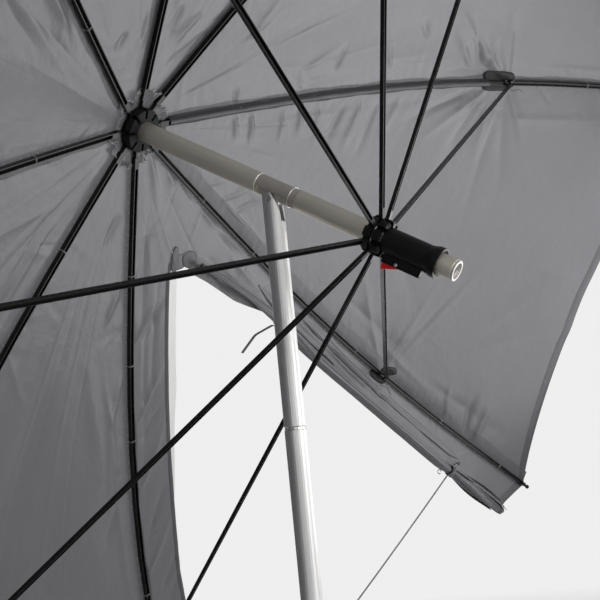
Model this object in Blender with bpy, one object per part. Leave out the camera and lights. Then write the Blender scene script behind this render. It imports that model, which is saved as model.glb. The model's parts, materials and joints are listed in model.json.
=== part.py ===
"""Fishing umbrella: eight steel ribs on a short aluminium shaft, which tilts on a slim joint at the top of its pole.

The world frame has +Z up the pole and its origin on the pole's axis at the ground, where the spike goes in.
The shaft leans in the XZ plane, with the hub on the +X side, and all of it hangs from an empty on the tilt pin.
The shaft frame has its origin at the centre of the hub, Z running from the hub to the shaft's free end and X on
the low side. Each rib is drawn once in a rib frame: X runs outward, Z along the shaft, and the origin is the
rib's hinge, where an empty carries the rib, its stretcher and its part of the canopy.
"""
import math

import bmesh
import bpy
from mathutils import Matrix, Vector

MM = 0.001
GAP = 0.3 * MM
OVERRUN = 5.0 * MM

# The round tubes of the shaft and the pole
TUBE_R = 12.5 * MM
TUBE_WALL = 1.3 * MM
PLUG_R = TUBE_R - TUBE_WALL - GAP
ROUND_SIDES = 28
TUBE_CHAMFER = 0.6 * MM

# Where the shaft sits on the pole
PIN_HEIGHT = 1186.0 * MM
TILT = math.radians(58.3)
AXES_CROSS = 209.0 * MM
PIN_DROP = 12.0 * MM
SHAFT_LENGTH = 459.8 * MM

# The tilt joint
INSERT_FROM = 17.5 * MM
INSERT_TO = 38.5 * MM
INSERT_R = 11.9 * MM
INSERT_GRIP = 24.0 * MM
TONGUE_WIDTH = 9.0 * MM
TONGUE_R = 9.5 * MM
LEDGE_DEPTH = 3.8 * MM
PIVOT_R = 3.4 * MM
PIVOT_HEAD_R = 4.6 * MM
PIVOT_HEAD = 1.0 * MM
CHEEK_TOP = 7.4 * MM
CHEEK_APEX = 3.0 * MM
MITRE_DROP = 15.0 * MM
RELIEF_DROP = 42.0 * MM
RELIEF_DEPTH = 3.6 * MM
SLOT_FLOOR = 27.0 * MM
LEG_HEAD = 40.0 * MM

# The leg, the pole and the ground end
LEG_LENGTH = 266.0 * MM
STUD_R = 7.6 * MM
STUD_THREAD = 1.0 * MM
STUD_PITCH = 4.0 * MM
STUD_LENGTH = 24.0 * MM
STUD_PLUG = 20.0 * MM
SOCKET_DEPTH = 28.0 * MM
SOCKET_BORE = STUD_R + GAP
SOCKET_LIP = 2.6 * MM
SOCKET_STEP_R = 9.6 * MM
POLE_BOTTOM = 470.0 * MM
COLLAR_LENGTH = 46.0 * MM
COLLAR_WALL = 4.0 * MM
COLLAR_EAR = 20.0 * MM
COLLAR_EAR_WIDTH = 9.0 * MM
COLLAR_EAR_HEIGHT = 22.0 * MM
COLLAR_SLIT = 1.6 * MM
COLLAR_STEP = 12.0 * MM
KNOB_R = 10.0 * MM
KNOB_LENGTH = 12.0 * MM
KNOB_NOTCH = 1.6 * MM
KNOB_NOTCHES = 7
KNOB_STEM_R = 3.0 * MM
INNER_R = 10.6 * MM
INNER_WALL = 1.2 * MM
INNER_OVERLAP_share = 0.537
INNER_BOTTOM = 60.0 * MM
SPIKE_FLANGE_R = 24.0 * MM
SPIKE_FLANGE = 4.0 * MM
SPIKE_CUP = 70.0 * MM
SPIKE_CUP_WALL = 2.6 * MM
SPIKE_DEPTH = 230.0 * MM
SPIKE_BODY_R = 10.0 * MM
SPIKE_TIP_R = 1.2 * MM
SPIKE_SHOULDER = 40.0 * MM

# The hub and its cap
HUB_R = 28.0 * MM
HUB_OUTER = 2.6 * MM
HUB_INNER = 11.0 * MM
HINGE_R = 24.0 * MM
HUB_SLOT = 4.2 * MM
HUB_SLOT_ROOT = 16.5 * MM
HUB_EDGE = 0.8 * MM
WIRE_R = 1.0 * MM
WIRE_SIDES = 6
WIRE_GROOVE = WIRE_R + GAP
CAP_R = 29.0 * MM
CAP_NECK_R = 20.5 * MM
CAP_RIM = 2.6 * MM
CAP_HEIGHT = 20.0 * MM
CAP_NOSE_R = 7.0 * MM
CAP_SPIGOT = 18.0 * MM
CAP_SKIRT = 2.1 * MM

# The ribs
RIBS = 8
RIB_PITCH = 2 * math.pi / RIBS
RIB_LEAN = [math.radians(a) for a in (-3.44, 0.48, 1.04, -0.30, 3.20, 1.16, -0.75, -1.49)]
RIB_LENGTH = 1250.0 * MM
JOINT_RUN = 788.7 * MM
ROOT_SLOPE = math.radians(5.74)
RIB_BEND = math.radians(35.5)
BEND_END_share = 2.0
RIB_WIDTH = 7.0 * MM
RIB_HEIGHT = 6.2 * MM
RIB_SHEET = 1.0 * MM
RIB_STEPS = 14
BLADE_THICK = 3.0 * MM
BLADE_LENGTH = 15.0 * MM
EYE_R = 3.0 * MM
TIP_R = 4.2 * MM
TIP_STEM = 9.0 * MM

# The stretchers and their joints
JOINT_DROP = 6.7 * MM
LUG_THICK = 1.2 * MM
LUG_LENGTH = 30.0 * MM
LUG_REACH = 3.6 * MM
STRETCHER_WIDTH = 5.4 * MM
STRETCHER_HEIGHT = 4.8 * MM
STRETCHER_SHEET = 0.9 * MM
STRETCHER_END = 12.0 * MM
JOINT_PIN_R = 1.5 * MM

# The runner
RUNNER_PLANE = 357.9 * MM
RUNNER_WIRE_R = 18.1 * MM
RUNNER_BORE = TUBE_R + GAP
RING_FROM = 11.5 * MM
RING_TO = 13.5 * MM
RING_R = 22.0 * MM
RING_CORE = 15.0 * MM
RING_SLOT = STRETCHER_WIDTH + 0.8 * MM
RING_BAND = 2.0 * MM
GRIP_R = 15.3 * MM
GRIP_LENGTH = 58.0 * MM
BELL_R = 18.0 * MM
BELL_LENGTH = 10.0 * MM
BELL_FLARE = 6.0 * MM
BELL_MOUTH = 2.2 * MM

# The catch in the runner
HOUSING_FROM = 16.0 * MM
HOUSING_LENGTH = 49.0 * MM
HOUSING_WIDTH = 8.4 * MM
HOUSING_DEPTH = 24.6 * MM
HOUSING_WALL = 1.4 * MM
HOUSING_NOSE = 11.0 * MM
TRIGGER_PIN_AT = 34.4 * MM
TRIGGER_PIN_DEPTH = 21.5 * MM
TRIGGER_PIN_R = 1.2 * MM
TRIGGER_THICK = HOUSING_WIDTH - 2 * HOUSING_WALL - 2 * GAP
TRIGGER_FRONT = 17.6 * MM
TRIGGER_LOW = 33.0 * MM
TRIGGER_TOP = 26.4 * MM
TRIGGER_EYE_R = 3.0 * MM
TRIGGER_TAIL = 9.0 * MM
TRIGGER_NOSE_R = 1.5 * MM

# The canopy
CLOTH = 1.0 * MM
CLOTH_LIFT = 1.4 * MM
CLOTH_OUT = HUB_OUTER + CLOTH_LIFT + CLOTH / 2
CLOTH_SHORT = 6.0 * MM
HEM_CURVE = 55.0 * MM
DOOR_RIBS = (5, 6)
DOOR_STRIP = 86.0 * MM
ROLLED_EDGE_shares = ((0.176, 1.08), (0.217, 0.92), (0.25, 0.83), (0.323, 0.71), (0.378, 0.67), (0.464, 0.72))
ROLLED_EDGE_shares += ((0.6, 0.75), (0.664, 0.78), (0.736, 0.83), (0.832, 0.92), (0.98, 1.0))
STRAIGHT_EDGE_shares = ((0.176, 1.08), (0.2, 1.02), (0.456, 1.0), (0.61, 0.9), (0.98, 0.9))
CLOTH_STEPS = 14
CLOTH_HALF_COLUMNS = 3
PANEL_SAG_share = 0.012

# The rolled door, its ties and the cord over the doorway
ROLL_R = 11.0 * MM
ROLL_FROM = 262.0 * MM
ROLL_SHORT = 25.0 * MM
ROLL_TO = RIB_LENGTH - ROLL_SHORT
ROLL_RINGS = 30
ROLL_SIDES = 12
ROLL_FLUTES = 5
ROLL_FLUTE_share = 0.12
TIE_RINGS = (7, 25)
TIE_WIDTH = 12.0 * MM
TIE_THICK = 1.0 * MM
TIE_SQUEEZE = 48.0 * MM
TIE_NIP_share = 0.72
TIE_SLACK_share = 0.05
ROLL_SIZE_shares = ((0.0, 0.4), (0.15, 0.45), (0.29, 1.0), (0.94, 1.0), (1.0, 0.75))
TIE_INNER = ROLL_R * (TIE_NIP_share + TIE_SLACK_share) * (1 + ROLL_FLUTE_share) + GAP
ROLL_OFF = 0.5 * MM
ROLL_IN = ROLL_R * (1 + ROLL_FLUTE_share) + GAP + CLOTH / 2 + ROLL_OFF
CORD_R = 1.5 * MM
CORD_SAG = 26.0 * MM
CORD_OFF = 0.8 * MM
CORD_POINTS = 40


def material(name, color, rough, metal=0.0):
    found = bpy.data.materials.new(name)
    found.use_nodes = True
    shader = found.node_tree.nodes["Principled BSDF"]
    shader.inputs["Base Color"].default_value = (*color, 1.0)
    shader.inputs["Roughness"].default_value = rough
    shader.inputs["Metallic"].default_value = metal
    found.diffuse_color = (*color, 1.0)
    return found


def add(name, mesh, mat, parent=None, place=None, smooth=35.0):
    """An object with this mesh, placed in its parent's frame."""
    mesh.materials.clear()
    mesh.materials.append(mat)
    mesh.shade_smooth()
    mesh.set_sharp_from_angle(angle=math.radians(smooth))
    obj = bpy.data.objects.new(name, mesh)
    bpy.context.scene.collection.objects.link(obj)
    obj.parent = parent
    obj.matrix_parent_inverse = Matrix.Identity(4)
    obj.matrix_basis = place or Matrix.Identity(4)
    return obj


def mesh_of(bm):
    bmesh.ops.recalc_face_normals(bm, faces=bm.faces)
    if bm.calc_volume(signed=True) < 0:
        bmesh.ops.reverse_faces(bm, faces=bm.faces)
    mesh = bpy.data.meshes.new("shape")
    bm.to_mesh(mesh)
    bm.free()
    return mesh


def turned(profile, sides=ROUND_SIDES, closed=False):
    """A solid of revolution about Z. The profile is (radius, height) pairs, and radius 0 is one point on the axis."""
    bm = bmesh.new()
    rings = []
    for radius, height in profile:
        if radius == 0:
            rings.append([bm.verts.new((0, 0, height))])
            continue
        turns = [2 * math.pi * i / sides for i in range(sides)]
        rings.append([bm.verts.new((radius * math.cos(a), radius * math.sin(a), height)) for a in turns])
    pairs = list(zip(rings, rings[1:]))
    if closed:
        pairs.append((rings[-1], rings[0]))
    for low, high in pairs:
        for i in range(sides):
            j = (i + 1) % sides
            corners = [low[i % len(low)], low[j % len(low)], high[j % len(high)], high[i % len(high)]]
            bm.faces.new(list(dict.fromkeys(corners)))
    return mesh_of(bm)


def tube(outer, inner, low, high, sides=ROUND_SIDES, chamfer=0.0):
    profile = [(inner, low), (outer - chamfer, low), (outer, low + chamfer)]
    profile += [(outer, high - chamfer), (outer - chamfer, high), (inner, high)]
    if chamfer == 0:
        profile = [(inner, low), (outer, low), (outer, high), (inner, high)]
    return turned(profile, sides, closed=True)


def rod(radius, low, high, sides=16, chamfer=0.0):
    profile = [(0, low), (radius - chamfer, low), (radius, low + chamfer)]
    profile += [(radius, high - chamfer), (radius - chamfer, high), (0, high)]
    if chamfer == 0:
        profile = [(0, low), (radius, low), (radius, high), (0, high)]
    return turned(profile, sides)


def prism(outline, low, high):
    """The (x, z) outline, drawn out along Y from low to high."""
    bm = bmesh.new()
    near = [bm.verts.new((x, low, z)) for x, z in outline]
    far = [bm.verts.new((x, high, z)) for x, z in outline]
    bm.faces.new(near)
    bm.faces.new(list(reversed(far)))
    for i in range(len(outline)):
        j = (i + 1) % len(outline)
        bm.faces.new([near[i], far[i], far[j], near[j]])
    return mesh_of(bm)


def block(x0, x1, y0, y1, z0, z1):
    return prism([(x0, z0), (x1, z0), (x1, z1), (x0, z1)], y0, y1)


def moved(mesh, place):
    mesh.transform(place)
    return mesh


def along_y(mesh):
    """A solid about Z, laid along Y."""
    return moved(mesh, Matrix.Rotation(math.radians(90), 4, "X"))


def combined(base, *steps):
    """The mesh base after boolean steps, each (operation, mesh)."""
    holder = bpy.data.objects.new("holder", base)
    bpy.context.scene.collection.objects.link(holder)
    tools = []
    for operation, mesh in steps:
        tool = bpy.data.objects.new("tool", mesh)
        tool.hide_render = True
        tool.display_type = "WIRE"
        bpy.context.scene.collection.objects.link(tool)
        tools.append(tool)
        step = holder.modifiers.new(operation, "BOOLEAN")
        step.operation = operation
        step.solver = "EXACT"
        step.object = tool
    graph = bpy.context.evaluated_depsgraph_get()
    result = bpy.data.meshes.new_from_object(holder.evaluated_get(graph))
    for obj in [holder, *tools]:
        bpy.data.objects.remove(obj)
    return result


def swept(sections):
    """A closed solid through a list of sections, each a ring of as many points."""
    bm = bmesh.new()
    rings = [[bm.verts.new(p) for p in ring] for ring in sections]
    count = len(rings[0])
    for low, high in zip(rings, rings[1:]):
        for i in range(count):
            j = (i + 1) % count
            bm.faces.new([low[i], low[j], high[j], high[i]])
    bm.faces.new(list(reversed(rings[0])))
    bm.faces.new(rings[-1])
    bmesh.ops.triangulate(bm, faces=[f for f in bm.faces if len(f.verts) > 4])
    return mesh_of(bm)


def rib_angle(run):
    """The rib's slope at this length from its hinge: gentle at the hub, steeper to the tip."""
    share = run / JOINT_RUN
    inner = ROOT_SLOPE + RIB_BEND * min(share, 1) ** 2 / 2
    past = max(share - 1, 0)
    return inner + RIB_BEND * (past - past**2 / (2 * (BEND_END_share - 1)))


def rib_point(run, out=0.0):
    """(x, z) in the rib frame at this length along the rib, moved outward by out, and the slope there."""
    steps = 60
    x = z = 0.0
    for i in range(steps):
        slope = rib_angle(run * (i + 0.5) / steps)
        x += run / steps * math.cos(slope)
        z += run / steps * math.sin(slope)
    slope = rib_angle(run)
    return x + out * math.sin(slope), z - out * math.cos(slope), slope


def rib_turn(k):
    """Where rib k stands about the shaft. Ribs 6 and 7 are either side of the low line."""
    return RIB_PITCH * (6.5 - k) + RIB_LEAN[k - 1]


def rib_place(k):
    """Rib k's frame within the shaft frame."""
    turn = rib_turn(k)
    return Matrix.Translation((HINGE_R * math.cos(turn), HINGE_R * math.sin(turn), 0)) @ Matrix.Rotation(turn, 4, "Z")


def neighbour(k, step):
    return (k - 1 + step) % RIBS + 1


def joint_point():
    """The stretcher's hinge in the rib frame."""
    x, z, slope = rib_point(JOINT_RUN, -JOINT_DROP)
    return Vector((x, 0, z))


def joint_slope():
    """The stretcher's slope, from its hinge in to the runner."""
    start = joint_point()
    return math.atan2(RUNNER_PLANE - start.z, start.x + HINGE_R - RUNNER_WIRE_R)


def stretcher_length():
    start = joint_point()
    return math.hypot(RUNNER_PLANE - start.z, start.x + HINGE_R - RUNNER_WIRE_R)


def make_materials():
    return {
        "satin_tube": material("satin_tube", (0.36, 0.34, 0.29), 0.34, 0.9),
        "pole_tube": material("pole_tube", (0.55, 0.54, 0.52), 0.28, 0.95),
        "brushed_insert": material("brushed_insert", (0.30, 0.27, 0.24), 0.42, 0.9),
        "nickel": material("nickel", (0.62, 0.60, 0.57), 0.18, 1.0),
        "steel": material("steel", (0.45, 0.45, 0.44), 0.3, 1.0),
        "black_steel": material("black_steel", (0.025, 0.022, 0.022), 0.38, 0.4),
        "black_plastic": material("black_plastic", (0.012, 0.012, 0.011), 0.42),
        "red_plastic": material("red_plastic", (0.72, 0.01, 0.01), 0.38),
        "canopy_cloth": material("canopy_cloth", (0.27, 0.27, 0.285), 0.78),
        "dark_tape": material("dark_tape", (0.10, 0.10, 0.105), 0.85),
        "grey_cord": material("grey_cord", (0.24, 0.24, 0.25), 0.8),
    }


def shaft_place():
    """The shaft frame, within the frame of the tilt pin."""
    along = Vector((-math.sin(TILT), 0, -math.cos(TILT)))
    low_side = Vector((math.cos(TILT), 0, -math.sin(TILT)))
    turn = Matrix((low_side, along.cross(low_side), along)).transposed().to_4x4()
    pin = Vector((PIN_DROP, 0, AXES_CROSS + PIN_DROP / math.tan(TILT)))
    return turn @ Matrix.Translation(-pin)


def make_shaft(tilt, mats):
    """The upper tube, the joint's insert, the lower tube and the threaded end."""
    pin_z = AXES_CROSS + PIN_DROP / math.tan(TILT)
    upper_end = AXES_CROSS - INSERT_FROM
    lower_start = AXES_CROSS + INSERT_TO
    bore = TUBE_R - TUBE_WALL
    upper = tube(TUBE_R, bore, -HUB_OUTER, upper_end, chamfer=TUBE_CHAMFER)
    add("shaft_upper_tube", upper, mats["satin_tube"], tilt, shaft_place())

    profile = [(0, upper_end - INSERT_GRIP), (PLUG_R, upper_end - INSERT_GRIP), (PLUG_R, upper_end + GAP)]
    profile += [(INSERT_R, upper_end + GAP), (INSERT_R, lower_start - GAP), (PLUG_R, lower_start - GAP)]
    profile += [(PLUG_R, lower_start + INSERT_GRIP), (0, lower_start + INSERT_GRIP)]
    barrel = turned(profile)
    side = TUBE_R + OVERRUN
    flat_from, flat_to = upper_end + GAP, lower_start - GAP
    flats = [block(LEDGE_DEPTH, side, y0, y1, flat_from, flat_to) for y0, y1 in ((TONGUE_WIDTH / 2, side), (-side, -TONGUE_WIDTH / 2))]
    foot = [(math.sin(a) * TONGUE_R + PIN_DROP, math.cos(a) * TONGUE_R + pin_z) for a in (math.pi * i / 12 for i in range(13))]
    tongue = prism([(0, pin_z - TONGUE_R), (0, pin_z + TONGUE_R), *foot], -TONGUE_WIDTH / 2, TONGUE_WIDTH / 2)
    hole = along_y(rod(PIVOT_R + GAP, -side, side, 20))
    hole = moved(hole, Matrix.Translation((PIN_DROP, 0, pin_z)))
    insert = combined(barrel, ("DIFFERENCE", flats[0]), ("DIFFERENCE", flats[1]), ("UNION", tongue), ("DIFFERENCE", hole))
    add("tilt_insert", insert, mats["brushed_insert"], tilt, shaft_place())

    socket_from = SHAFT_LENGTH - SOCKET_LIP
    lower = tube(TUBE_R, bore, lower_start, socket_from - GAP, chamfer=TUBE_CHAMFER)
    add("shaft_lower_tube", lower, mats["satin_tube"], tilt, shaft_place())
    end = shaft_place() @ Matrix.Translation((0, 0, SHAFT_LENGTH))
    add("shaft_end_socket", socket_mesh(), mats["nickel"], tilt, end)


def socket_mesh():
    """A plug with a threaded bore. Its open face is at the origin and it lies below it."""
    profile = [(0, -SOCKET_DEPTH - SOCKET_LIP), (PLUG_R, -SOCKET_DEPTH - SOCKET_LIP), (PLUG_R, -SOCKET_LIP)]
    profile += [(TUBE_R, -SOCKET_LIP), (TUBE_R, -TUBE_CHAMFER), (TUBE_R - TUBE_CHAMFER, 0), (SOCKET_STEP_R, 0)]
    profile += [(SOCKET_BORE + STUD_THREAD, -SOCKET_LIP)]
    grooves = int((SOCKET_DEPTH - SOCKET_LIP) / STUD_PITCH)
    for i in range(grooves):
        depth = -SOCKET_LIP - i * STUD_PITCH
        profile += [(SOCKET_BORE, depth - STUD_PITCH / 2), (SOCKET_BORE + STUD_THREAD, depth - STUD_PITCH)]
    profile += [(0, profile[-1][1])]
    return turned(profile, 16)


def make_leg(mats, tilt_at):
    """The machined leg: a forked head that straddles the tongue, and the tube below it."""
    low = -LEG_LENGTH
    bore = TUBE_R - TUBE_WALL
    floor = -LEG_HEAD
    profile = [(0, CHEEK_TOP), (TUBE_R, CHEEK_TOP), (TUBE_R, low + TUBE_CHAMFER), (TUBE_R - TUBE_CHAMFER, low)]
    profile += [(bore, low), (bore, floor), (0, floor)]
    body = turned(profile)
    side = TUBE_R + OVERRUN
    slot = TONGUE_WIDTH / 2 + GAP
    slot_cut = block(-side, side, -slot, slot, -SLOT_FLOOR, CHEEK_TOP + OVERRUN)
    mitre_foot = CHEEK_TOP - MITRE_DROP
    mitre = [(-CHEEK_APEX, CHEEK_TOP + OVERRUN), (-CHEEK_APEX, CHEEK_TOP)]
    mitre += [(-TUBE_R + RELIEF_DEPTH, mitre_foot), (-TUBE_R, -RELIEF_DROP), (-side, -RELIEF_DROP), (-side, CHEEK_TOP + OVERRUN)]
    mitre_cut = prism(mitre, -side, side)
    hole = along_y(rod(PIVOT_R + GAP, -side, side, 20))
    leg = combined(body, ("DIFFERENCE", slot_cut), ("DIFFERENCE", mitre_cut), ("DIFFERENCE", hole))
    add("tilt_leg", leg, mats["pole_tube"], None, tilt_at)

    half = math.sqrt(TUBE_R**2 - PIVOT_HEAD_R**2)
    seat = half - PIVOT_HEAD
    profile = [(0, -seat), (PIVOT_R, -seat), (PIVOT_R, seat), (0, seat)]
    add("tilt_pin", along_y(turned(profile, 20)), mats["steel"], None, tilt_at)

    stud_top = low + STUD_PLUG
    profile = [(0, stud_top), (PLUG_R, stud_top), (PLUG_R, low), (STUD_R, low)]
    threads = int(STUD_LENGTH / STUD_PITCH)
    for i in range(threads):
        depth = low - i * STUD_PITCH
        profile += [(STUD_R - STUD_THREAD, depth - STUD_PITCH / 2), (STUD_R, depth - STUD_PITCH)]
    profile += [(0, low - threads * STUD_PITCH)]
    add("leg_stud", turned(profile, 16), mats["nickel"], None, tilt_at)


def make_pole(mats):
    """The pole tube with its threaded top, and the clamp that holds the inner tube."""
    top = PIN_HEIGHT - LEG_LENGTH - GAP
    bore = TUBE_R - TUBE_WALL
    add("pole_socket", socket_mesh(), mats["nickel"], None, Matrix.Translation((0, 0, top)))
    pole_top = top - SOCKET_LIP - GAP
    add("pole_tube", tube(TUBE_R, bore, POLE_BOTTOM, pole_top, chamfer=TUBE_CHAMFER), mats["pole_tube"], None)

    grip = COLLAR_LENGTH - COLLAR_STEP
    outer = TUBE_R + GAP + COLLAR_WALL
    low = POLE_BOTTOM - COLLAR_STEP
    slide = INNER_R + GAP
    seat = TUBE_R + GAP
    profile = [(slide, low), (outer - TUBE_CHAMFER, low), (outer, low + TUBE_CHAMFER), (outer, low + COLLAR_LENGTH - TUBE_CHAMFER)]
    profile += [(outer - TUBE_CHAMFER, low + COLLAR_LENGTH), (seat, low + COLLAR_LENGTH), (seat, POLE_BOTTOM - GAP)]
    profile += [(slide, POLE_BOTTOM - GAP)]
    ring = turned(profile, closed=True)
    ear_low = low + (COLLAR_LENGTH - COLLAR_EAR_HEIGHT) / 2
    ear_in, ear_out = outer - COLLAR_WALL / 2, outer + COLLAR_EAR
    ear = block(ear_in, ear_out, -COLLAR_EAR_WIDTH, COLLAR_EAR_WIDTH, ear_low, ear_low + COLLAR_EAR_HEIGHT)
    slit = block(0, ear_out + OVERRUN, -COLLAR_SLIT / 2, COLLAR_SLIT / 2, low - OVERRUN, low + COLLAR_LENGTH + OVERRUN)
    knob_x = ear_out - KNOB_R / 2 - KNOB_STEM_R
    knob_z = ear_low + COLLAR_EAR_HEIGHT / 2
    bolt_hole = along_y(rod(KNOB_STEM_R + GAP, -COLLAR_EAR_WIDTH - OVERRUN, COLLAR_EAR_WIDTH + OVERRUN, 16))
    bolt_hole = moved(bolt_hole, Matrix.Translation((knob_x, 0, knob_z)))
    collar = combined(ring, ("UNION", ear), ("DIFFERENCE", slit), ("DIFFERENCE", bolt_hole))
    add("clamp_collar", collar, mats["black_plastic"], None)

    stem_low, knob_from = -COLLAR_EAR_WIDTH, COLLAR_EAR_WIDTH + GAP
    outline = []
    for i in range(KNOB_NOTCHES * 6):
        turn = 2 * math.pi * i / (KNOB_NOTCHES * 6)
        radius = KNOB_R - KNOB_NOTCH * max(0.0, math.cos(KNOB_NOTCHES * turn)) ** 2
        outline.append((radius * math.cos(turn), radius * math.sin(turn)))
    disc = prism(outline, knob_from, knob_from + KNOB_LENGTH)
    stem = moved(along_y(rod(KNOB_STEM_R, stem_low, knob_from + KNOB_LENGTH / 2)), Matrix.Scale(-1, 4, (0, 1, 0)))
    stem.flip_normals()
    knob = combined(disc, ("UNION", stem))
    add("clamp_screw", knob, mats["black_plastic"], None, Matrix.Translation((knob_x, 0, knob_z)))


def make_ground_end(mats):
    """The inner tube and the spike, which stand in the ground."""
    bore = INNER_R - INNER_WALL
    pole_top = PIN_HEIGHT - LEG_LENGTH - SOCKET_LIP
    inner_top = POLE_BOTTOM + (pole_top - POLE_BOTTOM) * INNER_OVERLAP_share
    add("inner_pole_tube", tube(INNER_R, bore, INNER_BOTTOM, inner_top, 28), mats["satin_tube"], None)

    cup = INNER_R + GAP + SPIKE_CUP_WALL
    seat = INNER_R + GAP
    profile = [(0, -SPIKE_DEPTH), (SPIKE_TIP_R, -SPIKE_DEPTH), (SPIKE_BODY_R, -SPIKE_DEPTH + SPIKE_SHOULDER * 2)]
    profile += [(SPIKE_BODY_R, -SPIKE_SHOULDER), (cup, 0), (SPIKE_FLANGE_R - TUBE_CHAMFER, 0)]
    profile += [(SPIKE_FLANGE_R, TUBE_CHAMFER), (SPIKE_FLANGE_R, SPIKE_FLANGE), (cup, SPIKE_FLANGE * 2)]
    rim = INNER_BOTTOM + SPIKE_CUP
    profile += [(cup, rim), (seat, rim), (seat, INNER_BOTTOM - GAP), (0, INNER_BOTTOM - GAP)]
    add("ground_spike", turned(profile, 20), mats["steel"], None)


def make_hub(tilt, mats):
    """The notched hub, the wire that the ribs turn on, and the cap outside the cloth."""
    bore = TUBE_R + GAP
    profile = [(bore, -HUB_OUTER), (HUB_R - HUB_EDGE, -HUB_OUTER), (HUB_R, -HUB_OUTER + HUB_EDGE)]
    profile += [(HUB_R, -WIRE_GROOVE), (HINGE_R - WIRE_GROOVE, -WIRE_GROOVE), (HINGE_R - WIRE_GROOVE, WIRE_GROOVE)]
    profile += [(HUB_R, WIRE_GROOVE), (HUB_R, HUB_INNER - HUB_EDGE), (HUB_R - HUB_EDGE, HUB_INNER), (bore, HUB_INNER)]
    cuts = []
    for k in range(1, RIBS + 1):
        reach = HUB_R + OVERRUN
        slot = block(HUB_SLOT_ROOT, reach, -HUB_SLOT / 2, HUB_SLOT / 2, -HUB_OUTER - OVERRUN, HUB_INNER + OVERRUN)
        cuts.append(("DIFFERENCE", moved(slot, Matrix.Rotation(rib_turn(k), 4, "Z"))))
    add("hub", combined(turned(profile, 32, closed=True), *cuts), mats["black_plastic"], tilt, shaft_place())
    add("hub_wire", wire_ring(HINGE_R, 32), mats["steel"], tilt, shaft_place())

    under = cloth_out(HINGE_R) + CLOTH / 2 + GAP
    profile = [(0, CAP_SPIGOT), (PLUG_R, CAP_SPIGOT), (PLUG_R, -HUB_OUTER - GAP), (CAP_NECK_R, -HUB_OUTER - GAP)]
    profile += [(CAP_NECK_R, -under), (CAP_R, -under + CAP_SKIRT / 4), (CAP_R, -under - CAP_RIM)]
    for i in range(1, 6):
        turn = math.radians(90) * i / 6
        radius = CAP_NOSE_R + (CAP_R - CAP_NOSE_R) * math.cos(turn)
        profile.append((radius, -under - CAP_RIM - (CAP_HEIGHT - CAP_RIM) * math.sin(turn)))
    profile += [(0, -under - CAP_HEIGHT)]
    add("top_cap", turned(profile, 20), mats["black_plastic"], tilt, shaft_place())


def wire_ring(radius, around):
    profile = []
    for i in range(WIRE_SIDES):
        turn = 2 * math.pi * i / WIRE_SIDES
        profile.append((radius + WIRE_R * math.cos(turn), WIRE_R * math.sin(turn)))
    return turned(profile, around, closed=True)


def rib_bar(start, end, low, high, width, steps=RIB_STEPS):
    """A bar along the rib's curve, between two heights above its middle line."""
    rings = []
    for i in range(steps + 1):
        x, z, slope = rib_point(start + (end - start) * i / steps)
        corners = [(-width, low), (-width, high), (width, high), (width, low)]
        rings.append([(x + up * math.sin(slope), across, z - up * math.cos(slope)) for across, up in corners])
    return swept(rings)


def rib_mesh():
    """The curved channel with its eye, its joint lugs and its tip."""
    half, rise = RIB_WIDTH / 2, RIB_HEIGHT / 2
    start, end = BLADE_LENGTH, RIB_LENGTH - TIP_STEM
    bar = rib_bar(start, end, -rise, rise, half)
    trough = rib_bar(start + BLADE_LENGTH, end - TIP_STEM, -rise - OVERRUN, rise - RIB_SHEET, half - RIB_SHEET)

    x, z, slope = rib_point(start + BLADE_LENGTH / 2)
    nose = [(-EYE_R * math.sin(a), EYE_R * math.cos(a)) for a in (math.pi * i / 8 for i in range(9))]
    blade_high = rise - RIB_SHEET / 2
    outline = [(px * math.cos(ROOT_SLOPE) - pz * math.sin(ROOT_SLOPE), px * math.sin(ROOT_SLOPE) + pz * math.cos(ROOT_SLOPE)) for px, pz in nose]
    outline += [(x + blade_high * math.sin(slope), z - blade_high * math.cos(slope))]
    outline += [(x - blade_high * math.sin(slope), z + blade_high * math.cos(slope))]
    blade = prism(outline, -BLADE_THICK / 2, BLADE_THICK / 2)
    eye = along_y(rod(WIRE_R + GAP, -RIB_WIDTH, RIB_WIDTH, 10))

    jx, jz, slope = rib_point(JOINT_RUN)
    ux, uz = math.cos(slope), math.sin(slope)
    inner = STRETCHER_WIDTH / 2 + GAP
    reach, foot = LUG_LENGTH / 2, JOINT_DROP + LUG_REACH
    corners = [(-reach, rise - RIB_SHEET), (reach, rise - RIB_SHEET), (reach, 0), (LUG_REACH, -foot + LUG_REACH / 2)]
    corners += [(LUG_REACH / 2, -foot), (-LUG_REACH / 2, -foot), (-LUG_REACH, -foot + LUG_REACH / 2), (-reach, 0)]
    outline = [(jx + a * ux + b * uz, jz + a * uz - b * ux) for a, b in corners]
    lugs = [prism(outline, inner, inner + LUG_THICK), prism(outline, -inner - LUG_THICK, -inner)]
    pin_hole = along_y(rod(JOINT_PIN_R + GAP, -RIB_WIDTH, RIB_WIDTH, 10))
    pin_hole = moved(pin_hole, Matrix.Translation(joint_point()))

    stem = rise - RIB_SHEET / 2
    profile = [(0, -RIB_SHEET), (stem, -RIB_SHEET), (stem, TIP_STEM - TIP_R / 2)]
    for i in range(4):
        turn = math.radians(-30 + 30 * i)
        profile.append((TIP_R * math.cos(turn), TIP_STEM + TIP_R * math.sin(turn)))
    profile += [(0, TIP_STEM + TIP_R)]
    tip = moved(turned(profile, 8), tip_frame(*rib_point(end)))
    steps = [("DIFFERENCE", trough), ("UNION", blade), ("DIFFERENCE", eye), ("UNION", lugs[0]), ("UNION", lugs[1])]
    return combined(bar, *steps, ("DIFFERENCE", pin_hole), ("UNION", tip))


def tip_frame(x, z, slope):
    """A frame whose own Z runs along the rib at this point."""
    along = Vector((math.cos(slope), 0, math.sin(slope)))
    across = Vector((0, 1, 0))
    third = across.cross(along)
    frame = Matrix((third, across, along)).transposed().to_4x4()
    return Matrix.Translation((x, 0, z)) @ frame


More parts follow.
